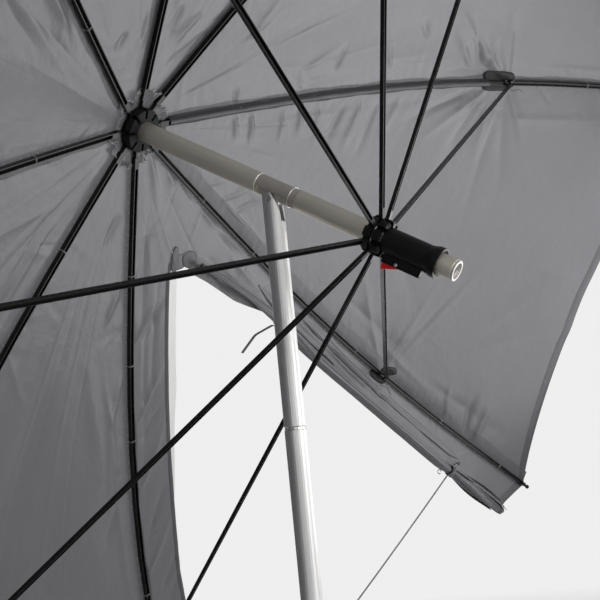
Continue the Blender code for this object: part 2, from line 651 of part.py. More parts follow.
def stretcher_mesh():
    """A straight channel from its joint, at the origin, inward to the runner."""
    slope = joint_slope()
    last = stretcher_length() - WIRE_R - GAP - STRETCHER_HEIGHT / 2
    half, width = STRETCHER_HEIGHT / 2, STRETCHER_WIDTH / 2
    outline = [(-half * math.sin(a), -half * math.cos(a)) for a in (math.pi * i / 8 for i in range(9))]
    outline += [(last + half * math.sin(a), half * math.cos(a)) for a in (math.pi * i / 8 for i in range(9))]
    bar = prism(outline, -width, width)
    inside = width - STRETCHER_SHEET
    trough = block(STRETCHER_END, last - STRETCHER_END, -inside, inside, -half - OVERRUN, half - STRETCHER_SHEET)
    reach = STRETCHER_WIDTH / 2 + GAP + LUG_THICK
    pin = along_y(rod(JOINT_PIN_R, -reach, reach, 12))
    mesh = combined(bar, ("DIFFERENCE", trough), ("UNION", pin))
    inward = Vector((-math.cos(slope), 0, math.sin(slope)))
    up = Vector((-math.sin(slope), 0, -math.cos(slope)))
    frame = Matrix((inward, up.cross(inward), up)).transposed().to_4x4()
    return moved(mesh, frame)


def make_ribs(tilt, mats):
    hinges = {}
    rib, stretcher = rib_mesh(), stretcher_mesh()
    for k in range(1, RIBS + 1):
        frame = bpy.data.objects.new(f"rib_{k}_hinge", None)
        bpy.context.scene.collection.objects.link(frame)
        frame.parent = tilt
        frame.matrix_basis = shaft_place() @ rib_place(k)
        hinges[k] = frame
        add(f"rib_{k}", rib, mats["black_steel"], frame)
        add(f"stretcher_{k}", stretcher, mats["black_steel"], frame, Matrix.Translation(joint_point()))
    return hinges


def make_runner(tilt, mats):
    """The slotted ring, the grip with its flared mouth, and the hollow housing of the catch."""
    low, ring_top = -RING_FROM, RING_TO
    grip_top = ring_top + GRIP_LENGTH
    top = grip_top + BELL_LENGTH
    profile = [(RUNNER_BORE, low), (RING_CORE, low), (RING_R - RING_BAND, low), (RING_R, low + RING_BAND)]
    profile += [(RING_R, -WIRE_GROOVE), (RUNNER_WIRE_R - WIRE_GROOVE, -WIRE_GROOVE), (RUNNER_WIRE_R - WIRE_GROOVE, WIRE_GROOVE)]
    profile += [(RING_R, WIRE_GROOVE), (RING_R, ring_top - RING_BAND), (RING_R - RING_BAND, ring_top), (GRIP_R, ring_top)]
    profile += [(GRIP_R, grip_top - BELL_FLARE), (BELL_R, grip_top + BELL_FLARE / 2), (BELL_R, top), (BELL_R - BELL_MOUTH, top)]
    profile += [(RUNNER_BORE, top - BELL_MOUTH)]
    steps = []
    for k in range(1, RIBS + 1):
        slot = block(RING_CORE, RING_R + OVERRUN, -RING_SLOT / 2, RING_SLOT / 2, low - OVERRUN, ring_top + OVERRUN)
        steps.append(("DIFFERENCE", moved(slot, Matrix.Rotation(rib_turn(k), 4, "Z"))))
    half = HOUSING_WIDTH / 2
    start, end = HOUSING_FROM, HOUSING_FROM + HOUSING_LENGTH
    root = (RUNNER_BORE + GRIP_R) / 2
    outline = [(root, start), (HOUSING_DEPTH, start), (HOUSING_DEPTH, end - HOUSING_WALL), (HOUSING_DEPTH - HOUSING_WALL, end)]
    outline += [(GRIP_R + HOUSING_WALL, end), (root, end + HOUSING_WALL)]
    steps.append(("UNION", prism(outline, -half, half)))
    inside = half - HOUSING_WALL
    cavity = block(GRIP_R + GAP, HOUSING_DEPTH + OVERRUN, -inside, inside, start - OVERRUN, end - HOUSING_NOSE)
    steps.append(("DIFFERENCE", cavity))
    pin_hole = along_y(rod(TRIGGER_PIN_R + GAP, -half - OVERRUN, half + OVERRUN, 12))
    steps.append(("DIFFERENCE", moved(pin_hole, Matrix.Translation((TRIGGER_PIN_DEPTH, 0, TRIGGER_PIN_AT)))))
    place = shaft_place() @ Matrix.Translation((0, 0, RUNNER_PLANE))
    add("runner", combined(turned(profile, 32, closed=True), *steps), mats["black_plastic"], tilt, place)
    add("runner_wire", wire_ring(RUNNER_WIRE_R, 32), mats["steel"], tilt, place)

    pin_at = place @ Matrix.Translation((TRIGGER_PIN_DEPTH, 0, TRIGGER_PIN_AT))
    add("trigger_pin", along_y(rod(TRIGGER_PIN_R, -half, half, 12)), mats["steel"], tilt, pin_at)
    front = TRIGGER_FRONT - TRIGGER_PIN_AT
    low_at, high_at = TRIGGER_LOW - TRIGGER_PIN_DEPTH, TRIGGER_TOP - TRIGGER_PIN_DEPTH
    inner = GRIP_R + GAP * 2 - TRIGGER_PIN_DEPTH
    outline = [(0, front), (high_at, front), (low_at, front + TRIGGER_NOSE_R), (low_at - TRIGGER_NOSE_R, front + TRIGGER_NOSE_R * 2)]
    outline += [(HOUSING_DEPTH - TRIGGER_PIN_DEPTH, TRIGGER_EYE_R * 3 / 2), (0, TRIGGER_EYE_R), (inner / 2, TRIGGER_TAIL), (inner, TRIGGER_TAIL)]
    outline += [(inner, TRIGGER_TAIL - TRIGGER_EYE_R), (-TRIGGER_EYE_R, TRIGGER_EYE_R / 2), (-TRIGGER_EYE_R, -TRIGGER_EYE_R)]
    lever = prism(outline, -TRIGGER_THICK / 2, TRIGGER_THICK / 2)
    eye = along_y(rod(TRIGGER_PIN_R + GAP, -half, half, 12))
    add("trigger", combined(lever, ("DIFFERENCE", eye)), mats["red_plastic"], tilt, pin_at)


def cloth_out(run):
    """How far the cloth's middle stands out from the rib's, so that it falls away clear of the rib's shoulders."""
    fall = math.tan(RIB_PITCH / 2) + 4 * PANEL_SAG_share
    return CLOTH_OUT + RIB_WIDTH / 2 * fall * math.sin(rib_angle(run))


def cloth_curve(k, run):
    """The cloth's middle over rib k at this length, in the shaft frame."""
    x, z, slope = rib_point(run, cloth_out(run))
    return rib_place(k) @ Vector((x, 0, z))


def panel_point(k, other, run, side):
    """A point of the cloth between rib k and a neighbour, side metres from rib k across the panel."""
    start, end = cloth_curve(k, run), cloth_curve(other, run)
    width = (end - start).length
    share = side / width
    point = start.lerp(end, share)
    sag = width * PANEL_SAG_share * 4 * share * (1 - share)
    toward_axis = Vector((-point.x, -point.y, 0)).normalized()
    return point + toward_axis * sag


def between(shares, at):
    """The value at this place in a table of (place, value) pairs."""
    if at <= shares[0][0]:
        return shares[0][1]
    for (low, before), (high, after) in zip(shares, shares[1:]):
        if at <= high:
            return before + (after - before) * (at - low) / (high - low)
    return shares[-1][1]


def door_edge(k, run):
    """How far the cloth reaches from rib k to the doorway: to the rolled door, or to the straight side."""
    shares = ROLLED_EDGE_shares if k == DOOR_RIBS[0] else STRAIGHT_EDGE_shares
    return DOOR_STRIP * between(shares, run / RIB_LENGTH)


def half_panel(k, other, run):
    """How far gore k reaches towards a neighbour: to the middle of the panel, or to the door's edge."""
    width = (cloth_curve(other, run) - cloth_curve(k, run)).length
    reach = (width - GAP) / 2
    if {k, other} == set(DOOR_RIBS):
        reach = min(reach, door_edge(k, run))
    return reach


def hem_run(share):
    """Where the hem crosses, at this share of the way from a rib to the middle of the panel."""
    return RIB_LENGTH - CLOTH_SHORT - HEM_CURVE * (1 - (1 - share) ** 2)


def gore_mesh(k):
    """One eighth of the canopy, from the middle of one panel to the middle of the next."""
    before, after = neighbour(k, -1), neighbour(k, 1)
    rows = []
    for i in range(CLOTH_STEPS + 1):
        row = []
        for j in range(-CLOTH_HALF_COLUMNS, CLOTH_HALF_COLUMNS + 1):
            share = abs(j) / CLOTH_HALF_COLUMNS
            other = before if j < 0 else after
            full = (cloth_curve(other, hem_run(0)) - cloth_curve(k, hem_run(0))).length / 2
            hem_share = share * min(1.0, half_panel(k, other, hem_run(0)) / full)
            run = hem_run(hem_share) * i / CLOTH_STEPS
            row.append(panel_point(k, other, run, share * half_panel(k, other, run)))
        rows.append(row)
    return cloth_solid(rows)


def cloth_solid(rows):
    """A closed sheet of even thickness about a grid of points."""
    bm = bmesh.new()
    grid = [[bm.verts.new(p) for p in row] for row in rows]
    for low, high in zip(grid, grid[1:]):
        for j in range(len(low) - 1):
            bm.faces.new([low[j], low[j + 1], high[j + 1], high[j]])
    bm.normal_update()
    normals = [[v.normal.copy() for v in row] for row in grid]
    bm.free()
    bm = bmesh.new()
    layers = []
    for way in (0.5, -0.5):
        layers.append([[bm.verts.new(p + n * CLOTH * way) for p, n in zip(*pair)] for pair in zip(rows, normals)])
    upper, lower = layers
    last = len(rows[0]) - 1
    for i in range(len(rows) - 1):
        for j in range(last):
            bm.faces.new([upper[i][j], upper[i][j + 1], upper[i + 1][j + 1], upper[i + 1][j]])
            bm.faces.new([lower[i + 1][j], lower[i + 1][j + 1], lower[i][j + 1], lower[i][j]])
        for j in (0, last):
            bm.faces.new([upper[i][j], upper[i + 1][j], lower[i + 1][j], lower[i][j]])
    for i in (0, len(rows) - 1):
        for j in range(last):
            bm.faces.new([upper[i][j], upper[i][j + 1], lower[i][j + 1], lower[i][j]])
    return mesh_of(bm)


def roll_run(i):
    return ROLL_FROM + (ROLL_TO - ROLL_FROM) * i / ROLL_RINGS


def roll_centre(run, side=0.0):
    """The middle line of the rolled door, inside the edge of the cloth beside rib 5, moved to the side."""
    first, second = DOOR_RIBS
    edge = door_edge(first, run) + side
    spot = panel_point(first, second, run, edge)
    along = panel_point(first, second, run + ROLL_R, edge) - spot
    across = panel_point(first, second, run, edge + ROLL_R) - spot
    inward = along.cross(across).normalized()
    if inward.z < 0:
        inward = -inward
    return spot + inward * ROLL_IN


def roll_ring(run, radius, phase=0.0, fluted=True, sides=ROLL_SIDES):
    """A ring of points about the roll's line."""
    step = ROLL_R
    along = (roll_centre(run + step) - roll_centre(run - step)).normalized()
    one = along.orthogonal().normalized()
    two = along.cross(one)
    centre = roll_centre(run)
    points = []
    for i in range(sides):
        turn = 2 * math.pi * i / sides
        swell = radius * (1 + (ROLL_FLUTE_share * math.sin(ROLL_FLUTES * turn + phase) if fluted else 0))
        points.append(centre + one * swell * math.cos(turn) + two * swell * math.sin(turn))
    return points


def make_canopy(hinges, mats):
    for k, hinge in hinges.items():
        gore = moved(gore_mesh(k), rib_place(k).inverted())
        add(f"canopy_gore_{k}", gore, mats["canopy_cloth"], hinge)

    hinge = hinges[DOOR_RIBS[0]]
    back = rib_place(DOOR_RIBS[0]).inverted()
    rings = []
    for i in range(ROLL_RINGS + 1):
        share, run = i / ROLL_RINGS, roll_run(i)
        radius = ROLL_R * between(ROLL_SIZE_shares, share)
        for tie in TIE_RINGS:
            near = min(1.0, abs(run - roll_run(tie)) / TIE_SQUEEZE)
            radius = min(radius, ROLL_R * (TIE_NIP_share + (1 - TIE_NIP_share) * near))
        rings.append(roll_ring(run, radius, math.tau * share))
    add("door_roll", moved(swept(rings), back), mats["canopy_cloth"], hinge)
    for number, tie in enumerate(TIE_RINGS, 1):
        add(f"door_tie_{number}", moved(band_mesh(roll_run(tie), TIE_INNER), back), mats["dark_tape"], hinge)

    cord = bpy.data.objects.new("doorway_cord", cord_curve(back))
    cord.data.materials.append(mats["grey_cord"])
    cord.parent = hinge
    bpy.context.scene.collection.objects.link(cord)


def band_mesh(run, inner):
    """A flat tape round the roll."""
    low, high = run - TIE_WIDTH / 2, run + TIE_WIDTH / 2
    loops = [roll_ring(low, inner, fluted=False), roll_ring(low, inner + TIE_THICK, fluted=False)]
    loops += [roll_ring(high, inner + TIE_THICK, fluted=False), roll_ring(high, inner, fluted=False)]
    bm = bmesh.new()
    rings = [[bm.verts.new(p) for p in loop] for loop in loops]
    for a, b in zip(rings, rings[1:] + rings[:1]):
        for i in range(ROLL_SIDES):
            j = (i + 1) % ROLL_SIDES
            bm.faces.new([a[i], a[j], b[j], b[i]])
    return mesh_of(bm)


def cord_curve(back):
    """The slack cord across the doorway, from one door strip to the other."""
    first, second = DOOR_RIBS
    tie = roll_run(TIE_RINGS[-1])
    start = roll_centre(tie, TIE_INNER + TIE_THICK + CORD_OFF)
    end = panel_point(second, first, tie, door_edge(second, tie) + CORD_OFF)
    curve = bpy.data.curves.new("cord", "CURVE")
    curve.dimensions = "3D"
    curve.bevel_depth = CORD_R
    curve.bevel_resolution = 2
    curve.use_fill_caps = True
    line = curve.splines.new("POLY")
    line.points.add(CORD_POINTS - 1)
    for i, point in enumerate(line.points):
        share = i / (CORD_POINTS - 1)
        spot = start.lerp(end, share) + Vector((1, 0, 0)) * CORD_SAG * 4 * share * (1 - share)
        point.co = (*(back @ spot), 1)
    return curve


def main():
    for obj in list(bpy.data.objects):
        bpy.data.objects.remove(obj)
    mats = make_materials()
    tilt = bpy.data.objects.new("tilt_hinge", None)
    bpy.context.scene.collection.objects.link(tilt)
    tilt.location = (0, 0, PIN_HEIGHT)

    make_ground_end(mats)
    make_pole(mats)
    make_leg(mats, Matrix.Translation(tilt.location))
    make_shaft(tilt, mats)
    make_hub(tilt, mats)
    hinges = make_ribs(tilt, mats)
    make_runner(tilt, mats)
    make_canopy(hinges, mats)


main()
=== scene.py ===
"""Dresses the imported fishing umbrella: its canopy, rolled door, tapes, cord, stitching and finishes."""
import json
import math

import bpy
import numpy as np
from mathutils import Matrix, Vector

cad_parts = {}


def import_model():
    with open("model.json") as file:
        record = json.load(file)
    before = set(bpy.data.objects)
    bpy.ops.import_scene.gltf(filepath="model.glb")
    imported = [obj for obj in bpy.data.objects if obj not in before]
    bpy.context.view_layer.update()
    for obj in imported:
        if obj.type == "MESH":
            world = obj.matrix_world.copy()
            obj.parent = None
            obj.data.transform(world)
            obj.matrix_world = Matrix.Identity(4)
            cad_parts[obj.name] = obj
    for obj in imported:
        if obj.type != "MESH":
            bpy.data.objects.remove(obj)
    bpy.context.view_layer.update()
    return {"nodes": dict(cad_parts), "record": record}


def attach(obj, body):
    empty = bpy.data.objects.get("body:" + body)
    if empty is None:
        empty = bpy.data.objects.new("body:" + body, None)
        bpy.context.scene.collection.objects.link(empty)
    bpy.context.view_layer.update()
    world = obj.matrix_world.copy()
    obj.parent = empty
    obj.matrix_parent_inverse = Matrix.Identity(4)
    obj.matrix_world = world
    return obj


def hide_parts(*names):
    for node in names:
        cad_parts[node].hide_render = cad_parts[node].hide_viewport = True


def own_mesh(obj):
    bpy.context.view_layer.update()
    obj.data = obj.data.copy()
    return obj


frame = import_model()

NODES = frame["nodes"]
MM = 0.001

# The shaft frame: Z from the hub to the shaft's free end, X on the low side
TILT = math.radians(58.3)
PIN_HEIGHT, PIN_DROP, AXES_CROSS = 1.186, 0.012, 0.209
ALONG = np.array((-math.sin(TILT), 0, -math.cos(TILT)))
LOW = np.array((math.cos(TILT), 0, -math.sin(TILT)))
THIRD = np.cross(ALONG, LOW)
TURN = np.array((LOW, THIRD, ALONG)).T
CROSSING = np.array((0, 0, PIN_HEIGHT + PIN_DROP / math.sin(TILT)))
HUB_AT = CROSSING - ALONG * AXES_CROSS

# The ribs and the canopy, as in the part's source
RIBS = 8
PITCH = 2 * math.pi / RIBS
LEAN = np.radians((-3.44, 0.48, 1.04, -0.30, 3.20, 1.16, -0.75, -1.49))
HINGE_R, JOINT_RUN, RIB_LENGTH = 0.024, 0.7887, 1.25
ROOT_SLOPE, RIB_BEND = math.radians(5.74), math.radians(35.5)
RUNNER_PLANE, JOINT_DROP = 0.3579, 0.0067
CLOTH_OUT, RIB_HALF, SAG = 0.0045, 0.0035, 0.012
CLOTH_SHORT, HEM_CURVE, DOOR_STRIP = 0.006, 0.055, 0.086
ROLLED_EDGE = ((0.176, 1.08), (0.217, 0.92), (0.25, 0.83), (0.323, 0.71), (0.378, 0.67), (0.464, 0.72),
               (0.6, 0.75), (0.664, 0.78), (0.736, 0.83), (0.832, 0.92), (0.98, 1.0))
STRAIGHT_EDGE = ((0.176, 1.08), (0.2, 1.02), (0.456, 1.0), (0.61, 0.9), (0.98, 0.9))
ROLL_R, ROLL_FROM, ROLL_TO, ROLL_IN = 0.011, 0.262, 1.225, 0.01362
ROLL_SIZES = ((0.0, 0.4), (0.15, 0.45), (0.29, 1.0), (0.94, 1.0), (1.0, 0.75))
TIE_1, TIE_2 = ROLL_FROM + (ROLL_TO - ROLL_FROM) * 7 / 30, ROLL_FROM + (ROLL_TO - ROLL_FROM) * 25 / 30
TIE_OUTER = ROLL_R * 0.77 * 1.12 + 0.0013
CORD_R, CORD_SAG, CORD_OFF = 0.0015, 0.026, 0.0008
DOOR = (5, 6)
SLEEVED = 4

# Trim that only this script makes. The outlines are round a rib, in millimetres
STITCH_STEP, STITCH_OFF, SEAM_FLAT = 0.0145, 0.0052, 0.02
TIE_OUTLINE = ((-8, -3.3), (-5.4, -2.6), (-4.5, 0), (-4.2, 2.6), (-2.6, 3.7), (2.6, 3.7), (4.2, 2.6),
               (4.5, 0), (5.4, -2.6), (8, -3.3))
SLEEVE_OUTLINE = ((-7.5, -3.0), (-5.0, -0.8), (-4.4, 2.6), (-3.0, 4.5), (0, 4.9), (3.0, 4.5), (4.4, 2.6),
                  (5.2, -0.8), (7.8, -3.0))
FILM_FROM = 0.0055
CORD_OVER, CORD_LYING = 0.0132, ((0.004, 0.067, 0.006), (0.009, 0.058, 0.0026), (0.0135, 0.05, 0.0012))
KNOT_LIFT, KNOT_SIZE = 0.0026, 0.00116
EYELET_FROM_TIE, EYELET_R = (0.019, 0.009, 0.0015), 0.0044
RIM_AT, RIM_R, RIM_WIRE = 0.2395, 0.01245, 0.00055
PIN_HEAD_LOW, PIN_HEAD_OUT, PIN_HEAD_PAST = 0.0215, 0.0043, 0.0344

# The rolled door: its size at the ties, its folds as (how many round it, how tall), the first tie's loose
# end, and the folds past the ties as (from, to, turn, width, how far they open)
TIED_SHARE = 0.7
ROLL_FOLDS = ((2, 0.09), (3, 0.1), (5, 0.09), (8, 0.05), (13, 0.03))
TIE_TAIL = ((0.2217, -0.4342, 1.083), (0.2331, -0.4289, 1.0887), (0.2601, -0.4185, 1.076),
            (0.2826, -0.4114, 1.0498))
LEAVES = ((TIE_2, 1.222, 2.6, 0.03, 0.004), (TIE_2, 1.22, 3.7, 0.026, 0.009),
          (TIE_2, 1.21, 1.3, 0.022, 0.004), (TIE_2, 1.2, 5.2, 0.02, 0.003),
          (TIE_1, 0.66, 2.9, 0.016, 0.002), (TIE_1, 0.62, 1.0, 0.014, 0.002))

# The stage
PALE = (0.86, 0.86, 0.86)
FLOOR_R, SWEEP_R, FLOOR_SIDES, FLOOR_AT = 7, 3, 64, -0.0005

# How finely the cloth and the roll are made, and how much the cloth's columns bunch up by its ribs
ROWS, COLS = ((320, 90))
ROLL_ROWS, ROLL_SIDES = ((220, 64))
BUNCH = 1.2

# The camera, fitted to the photograph
LENS, SENSOR, PHOTO_SIDE = 68.799, 36, 600
CAMERA_AT = np.array((-0.583132, 1.187215, 0.904895))
CAMERA_RIGHT = np.array((-0.894684, -0.435833, -0.097926))
CAMERA_DOWN = np.array((0.140341, -0.066128, -0.987892))
CAMERA_AHEAD = np.array((0.424081, -0.897595, 0.120329))


def world(points):
    """Points of the shaft frame, in the world."""
    return np.asarray(points, float) @ TURN.T + HUB_AT


def smooth(x):
    x = np.clip(x, 0, 1)
    return x * x * (3 - 2 * x)


def unit(v):
    return v / np.maximum(np.linalg.norm(v, axis=-1, keepdims=True), 1e-12)


def inside(v):
    """The unit vector which points inward, in the shaft frame."""
    v = unit(v)
    return v * np.sign(v[..., 2:3])


def turns(count):
    """So many angles round a circle."""
    return np.linspace(0, 2 * math.pi, count, endpoint=False)


def slope_at(run):
    """The rib's slope this far along it: it bends more and more up to its joint, and then less and less."""
    share = np.asarray(run, float) / JOINT_RUN
    past = np.maximum(share - 1, 0)
    return ROOT_SLOPE + RIB_BEND * np.minimum(share, 1) ** 2 / 2 + RIB_BEND * (past - past**2 / 2)


RUNS = np.linspace(0, 1.3, 2601)
RUN_STEP = RUNS[1] - RUNS[0]
SLOPES = slope_at(RUNS[:-1] + RUN_STEP / 2)
RIB_X = np.concatenate(([0], np.cumsum(np.cos(SLOPES) * RUN_STEP)))
RIB_Z = np.concatenate(([0], np.cumsum(np.sin(SLOPES) * RUN_STEP)))


def rib_point(k, run, out=0.0):
    """Points of rib k at these lengths, moved outward by out, in the shaft frame."""
    run = np.asarray(run, float)
    slope = slope_at(run)
    r = HINGE_R + np.interp(run, RUNS, RIB_X) + out * np.sin(slope)
    z = np.interp(run, RUNS, RIB_Z) - out * np.cos(slope)
    turn = turn_of(k)
    return np.stack((r * math.cos(turn), r * math.sin(turn), z), -1)


def turn_of(k):
    return PITCH * (6.5 - k) + LEAN[k - 1]


def step_to(k, step):
    return (k - 1 + step) % RIBS + 1


def cloth_line(k, run):
    """Where the cloth meets rib k, in the shaft frame."""
    fall = math.tan(PITCH / 2) + 4 * SAG
    return rib_point(k, run, CLOTH_OUT + RIB_HALF * fall * np.sin(slope_at(run)))


def panel_width(k, run):
    """The straight width of panel k, between rib k and the next."""
    return np.linalg.norm(cloth_line(step_to(k, 1), run) - cloth_line(k, run), axis=-1)


def side_width(k, side, run):
    """The width of the panel on side 1 or -1 of rib k."""
    return panel_width(k if side > 0 else step_to(k, -1), run)


def panel_flat(k, run, share):
    """The smooth cloth of panel k at this share of the way across."""
    a, b = cloth_line(k, run), cloth_line(step_to(k, 1), run)
    width = np.linalg.norm(b - a, axis=-1)
    p = a + (b - a) * np.asarray(share)[..., None]
    toward = unit(np.stack((-p[..., 0], -p[..., 1], np.zeros_like(p[..., 0])), -1))
    return p + toward * (width * SAG * 4 * share * (1 - share))[..., None]


def between(table, at):
    return np.interp(at, *zip(*table))


def door_edge(k, run):
    """How far the doorway's edge is from rib k."""
    return DOOR_STRIP * between(ROLLED_EDGE if k == DOOR[0] else STRAIGHT_EDGE, np.asarray(run) / RIB_LENGTH)


def roll_middle(run, side=0.0, into=0.0):
    """The middle line of the rolled door and its inward normal, in the shaft frame."""
    run = np.asarray(run, float)
    edge = door_edge(DOOR[0], run) + side

    def at(run, off):
        return panel_flat(DOOR[0], run, off / panel_width(DOOR[0], run))

    p = at(run, edge)
    n = inside(np.cross(at(run + ROLL_R, edge) - p, at(run, edge + ROLL_R) - p))
    return p + n * (ROLL_IN + into), n


# Creases and folds that the photograph shows, by panel: start and end in its pixels, height and half-width in
# millimetres, lead (the share of its length over which it rises) and sharpness
SEEN_FOLDS = {
    1: ((128, 30, 112, 58, -3, 7, 0.3, 0.4), (150, 5, 138, 60, 2.5, 8, 0.3, 0.3)),
    2: ((219, 22, 160, 72, -4.5, 8, 0.3, 0.3), (226, 26, 172, 62, 4, 8, 0.3, 0.3),
        (205, 8, 165, 50, 3, 9, 0.3, 0.3), (186, 2, 163, 45, -2.5, 9, 0.3, 0.3)),
    3: ((182, 95, 275, 47, 2.2, 6, 0.15, 0.9), (268, 50, 376, 2, 2, 6, 0.3, 0.9),
        (240, 45, 292, 2, 1.8, 7, 0.3, 0.6), (234, 105, 237, 84, -3, 5, 0.2, 0.4),
        (300, 90, 301, 66, 2, 6, 0.2, 0.6), (301, 70, 352, 40, 2, 7, 0.3, 0.5),
        (334, 74, 351, 38, -3, 7, 0.3, 0.5), (290, 73, 437, 32, 1.5, 6, 0.3, 0.8),
        (390, 72, 388, 30, 2.5, 8, 0.3, 0.4), (428, 40, 425, 15, -2.5, 8, 0.3, 0.3),
        (482, 70, 474, 12, -4.5, 10, 0.25, 0.4), (470, 68, 455, 20, 3, 10, 0.3, 0.3),
        (395, 63, 477, 59, 1.5, 5, 0.2, 0.8), (490, 70, 497, 25, 3, 9, 0.3, 0.3)),
    4: ((235, 114, 236, 148, 3.5, 6, 0.25, 0.3), (252, 112, 251, 155, 4, 6, 0.25, 0.3),
        (282, 108, 281, 150, 3, 6, 0.25, 0.3), (301, 106, 298, 142, 4, 7, 0.25, 0.3),
        (318, 103, 314, 150, 3, 7, 0.3, 0.3), (187, 130, 388, 122, 1.2, 5, 0.1, 0.9),
        (346, 101, 322, 152, -4.5, 9, 0.25, 0.3), (362, 100, 338, 158, 4, 9, 0.25, 0.3),
        (380, 98, 352, 165, -3.5, 9, 0.25, 0.3), (402, 95, 372, 150, 3, 10, 0.25, 0.3),
        (488, 88, 412, 145, 4.5, 11, 0.2, 0.4), (486, 94, 440, 160, -4, 11, 0.2, 0.3),
        (478, 88, 390, 128, -4, 11, 0.2, 0.3), (492, 92, 470, 165, 3, 11, 0.25, 0.3),
        (395, 160, 412, 195, 1.5, 5, 0.3, 0.8), (220, 201, 256, 186, 3, 6, 0.3, 0.4),
        (232, 214, 262, 198, -3, 6, 0.3, 0.4), (205, 186, 236, 176, 2, 6, 0.3, 0.4),
        (388, 352, 416, 329, 2.2, 7, 0.3, 0.5), (414, 329, 456, 356, 1.8, 5, 0.3, 0.8),
        (461, 438, 477, 388, -4, 9, 0.25, 0.4), (471, 444, 494, 398, 4, 9, 0.25, 0.4),
        (444, 420, 452, 380, 3, 9, 0.3, 0.3)),
    5: ((170, 160, 176, 192, 3.5, 8, 0.3, 0.4), (186, 176, 200, 210, -3, 6, 0.3, 0.5),
        (199, 206, 222, 236, 3, 6, 0.3, 0.5), (216, 230, 252, 266, -2.5, 6, 0.3, 0.5),
        (228, 255, 268, 300, 3, 9, 0.3, 0.4), (150, 150, 160, 215, 2.5, 9, 0.3, 0.3),
        (134, 345, 163, 288, 4, 8, 0.3, 0.4), (143, 345, 168, 290, -3.5, 8, 0.3, 0.4),
        (136, 428, 168, 352, 4, 8, 0.3, 0.4), (141, 445, 166, 395, -3.5, 8, 0.3, 0.4),
        (139, 495, 169, 410, 4, 9, 0.3, 0.4), (148, 545, 171, 465, -4, 9, 0.3, 0.4),
        (146, 580, 176, 500, 4, 9, 0.3, 0.4), (160, 600, 182, 540, -3.5, 9, 0.3, 0.4)),
    6: ((104, 330, 125, 268, 3, 9, 0.3, 0.4), (103, 250, 124, 205, -2.5, 9, 0.3, 0.4),
        (106, 440, 126, 360, 3, 9, 0.3, 0.4), (104, 560, 130, 470, -3, 10, 0.3, 0.4)),
}
SEEN_GAIN = {1: 1.05, 2: 1.25, 3: 1.4, 4: 1.05, 5: 1.05, 6: 1.1}
# A crease that is sharper than SHARP is made thinner. A panel with many seen folds gets fewer of the others
SHARP, THINNER, MANY, FEWER = 0.7, 0.6, 6, 0.6

# Folds along the roll, where the door is gathered: distance from its rib in metres, height and half-width in
# millimetres
GATHERS = ((0.024, 1.6, 5), (0.043, -2.2, 7), (0.057, 2.0, 6))


def found_on(k, pixels):
    """The (run, across) on panel k, to the millimetre, of what the photograph shows at these pixels."""
    run, share = np.meshgrid(np.linspace(0.02, 1.22, 601), np.linspace(0.01, 0.99, 197), indexing="ij")
    run, share = run.ravel(), share.ravel()
    rays = world(panel_flat(k, run, share)) - CAMERA_AT
    focal, far = LENS / SENSOR * PHOTO_SIDE, rays @ CAMERA_AHEAD
    x, y = (PHOTO_SIDE / 2 + focal * (rays @ way) / far for way in (CAMERA_RIGHT, CAMERA_DOWN))
    nearest = [np.hypot(x - pixel[0], y - pixel[1]).argmin() for pixel in pixels]
    return [(round(run[i], 3), round((share[i] - 0.5) * panel_width(k, run[i]), 3)) for i in nearest]


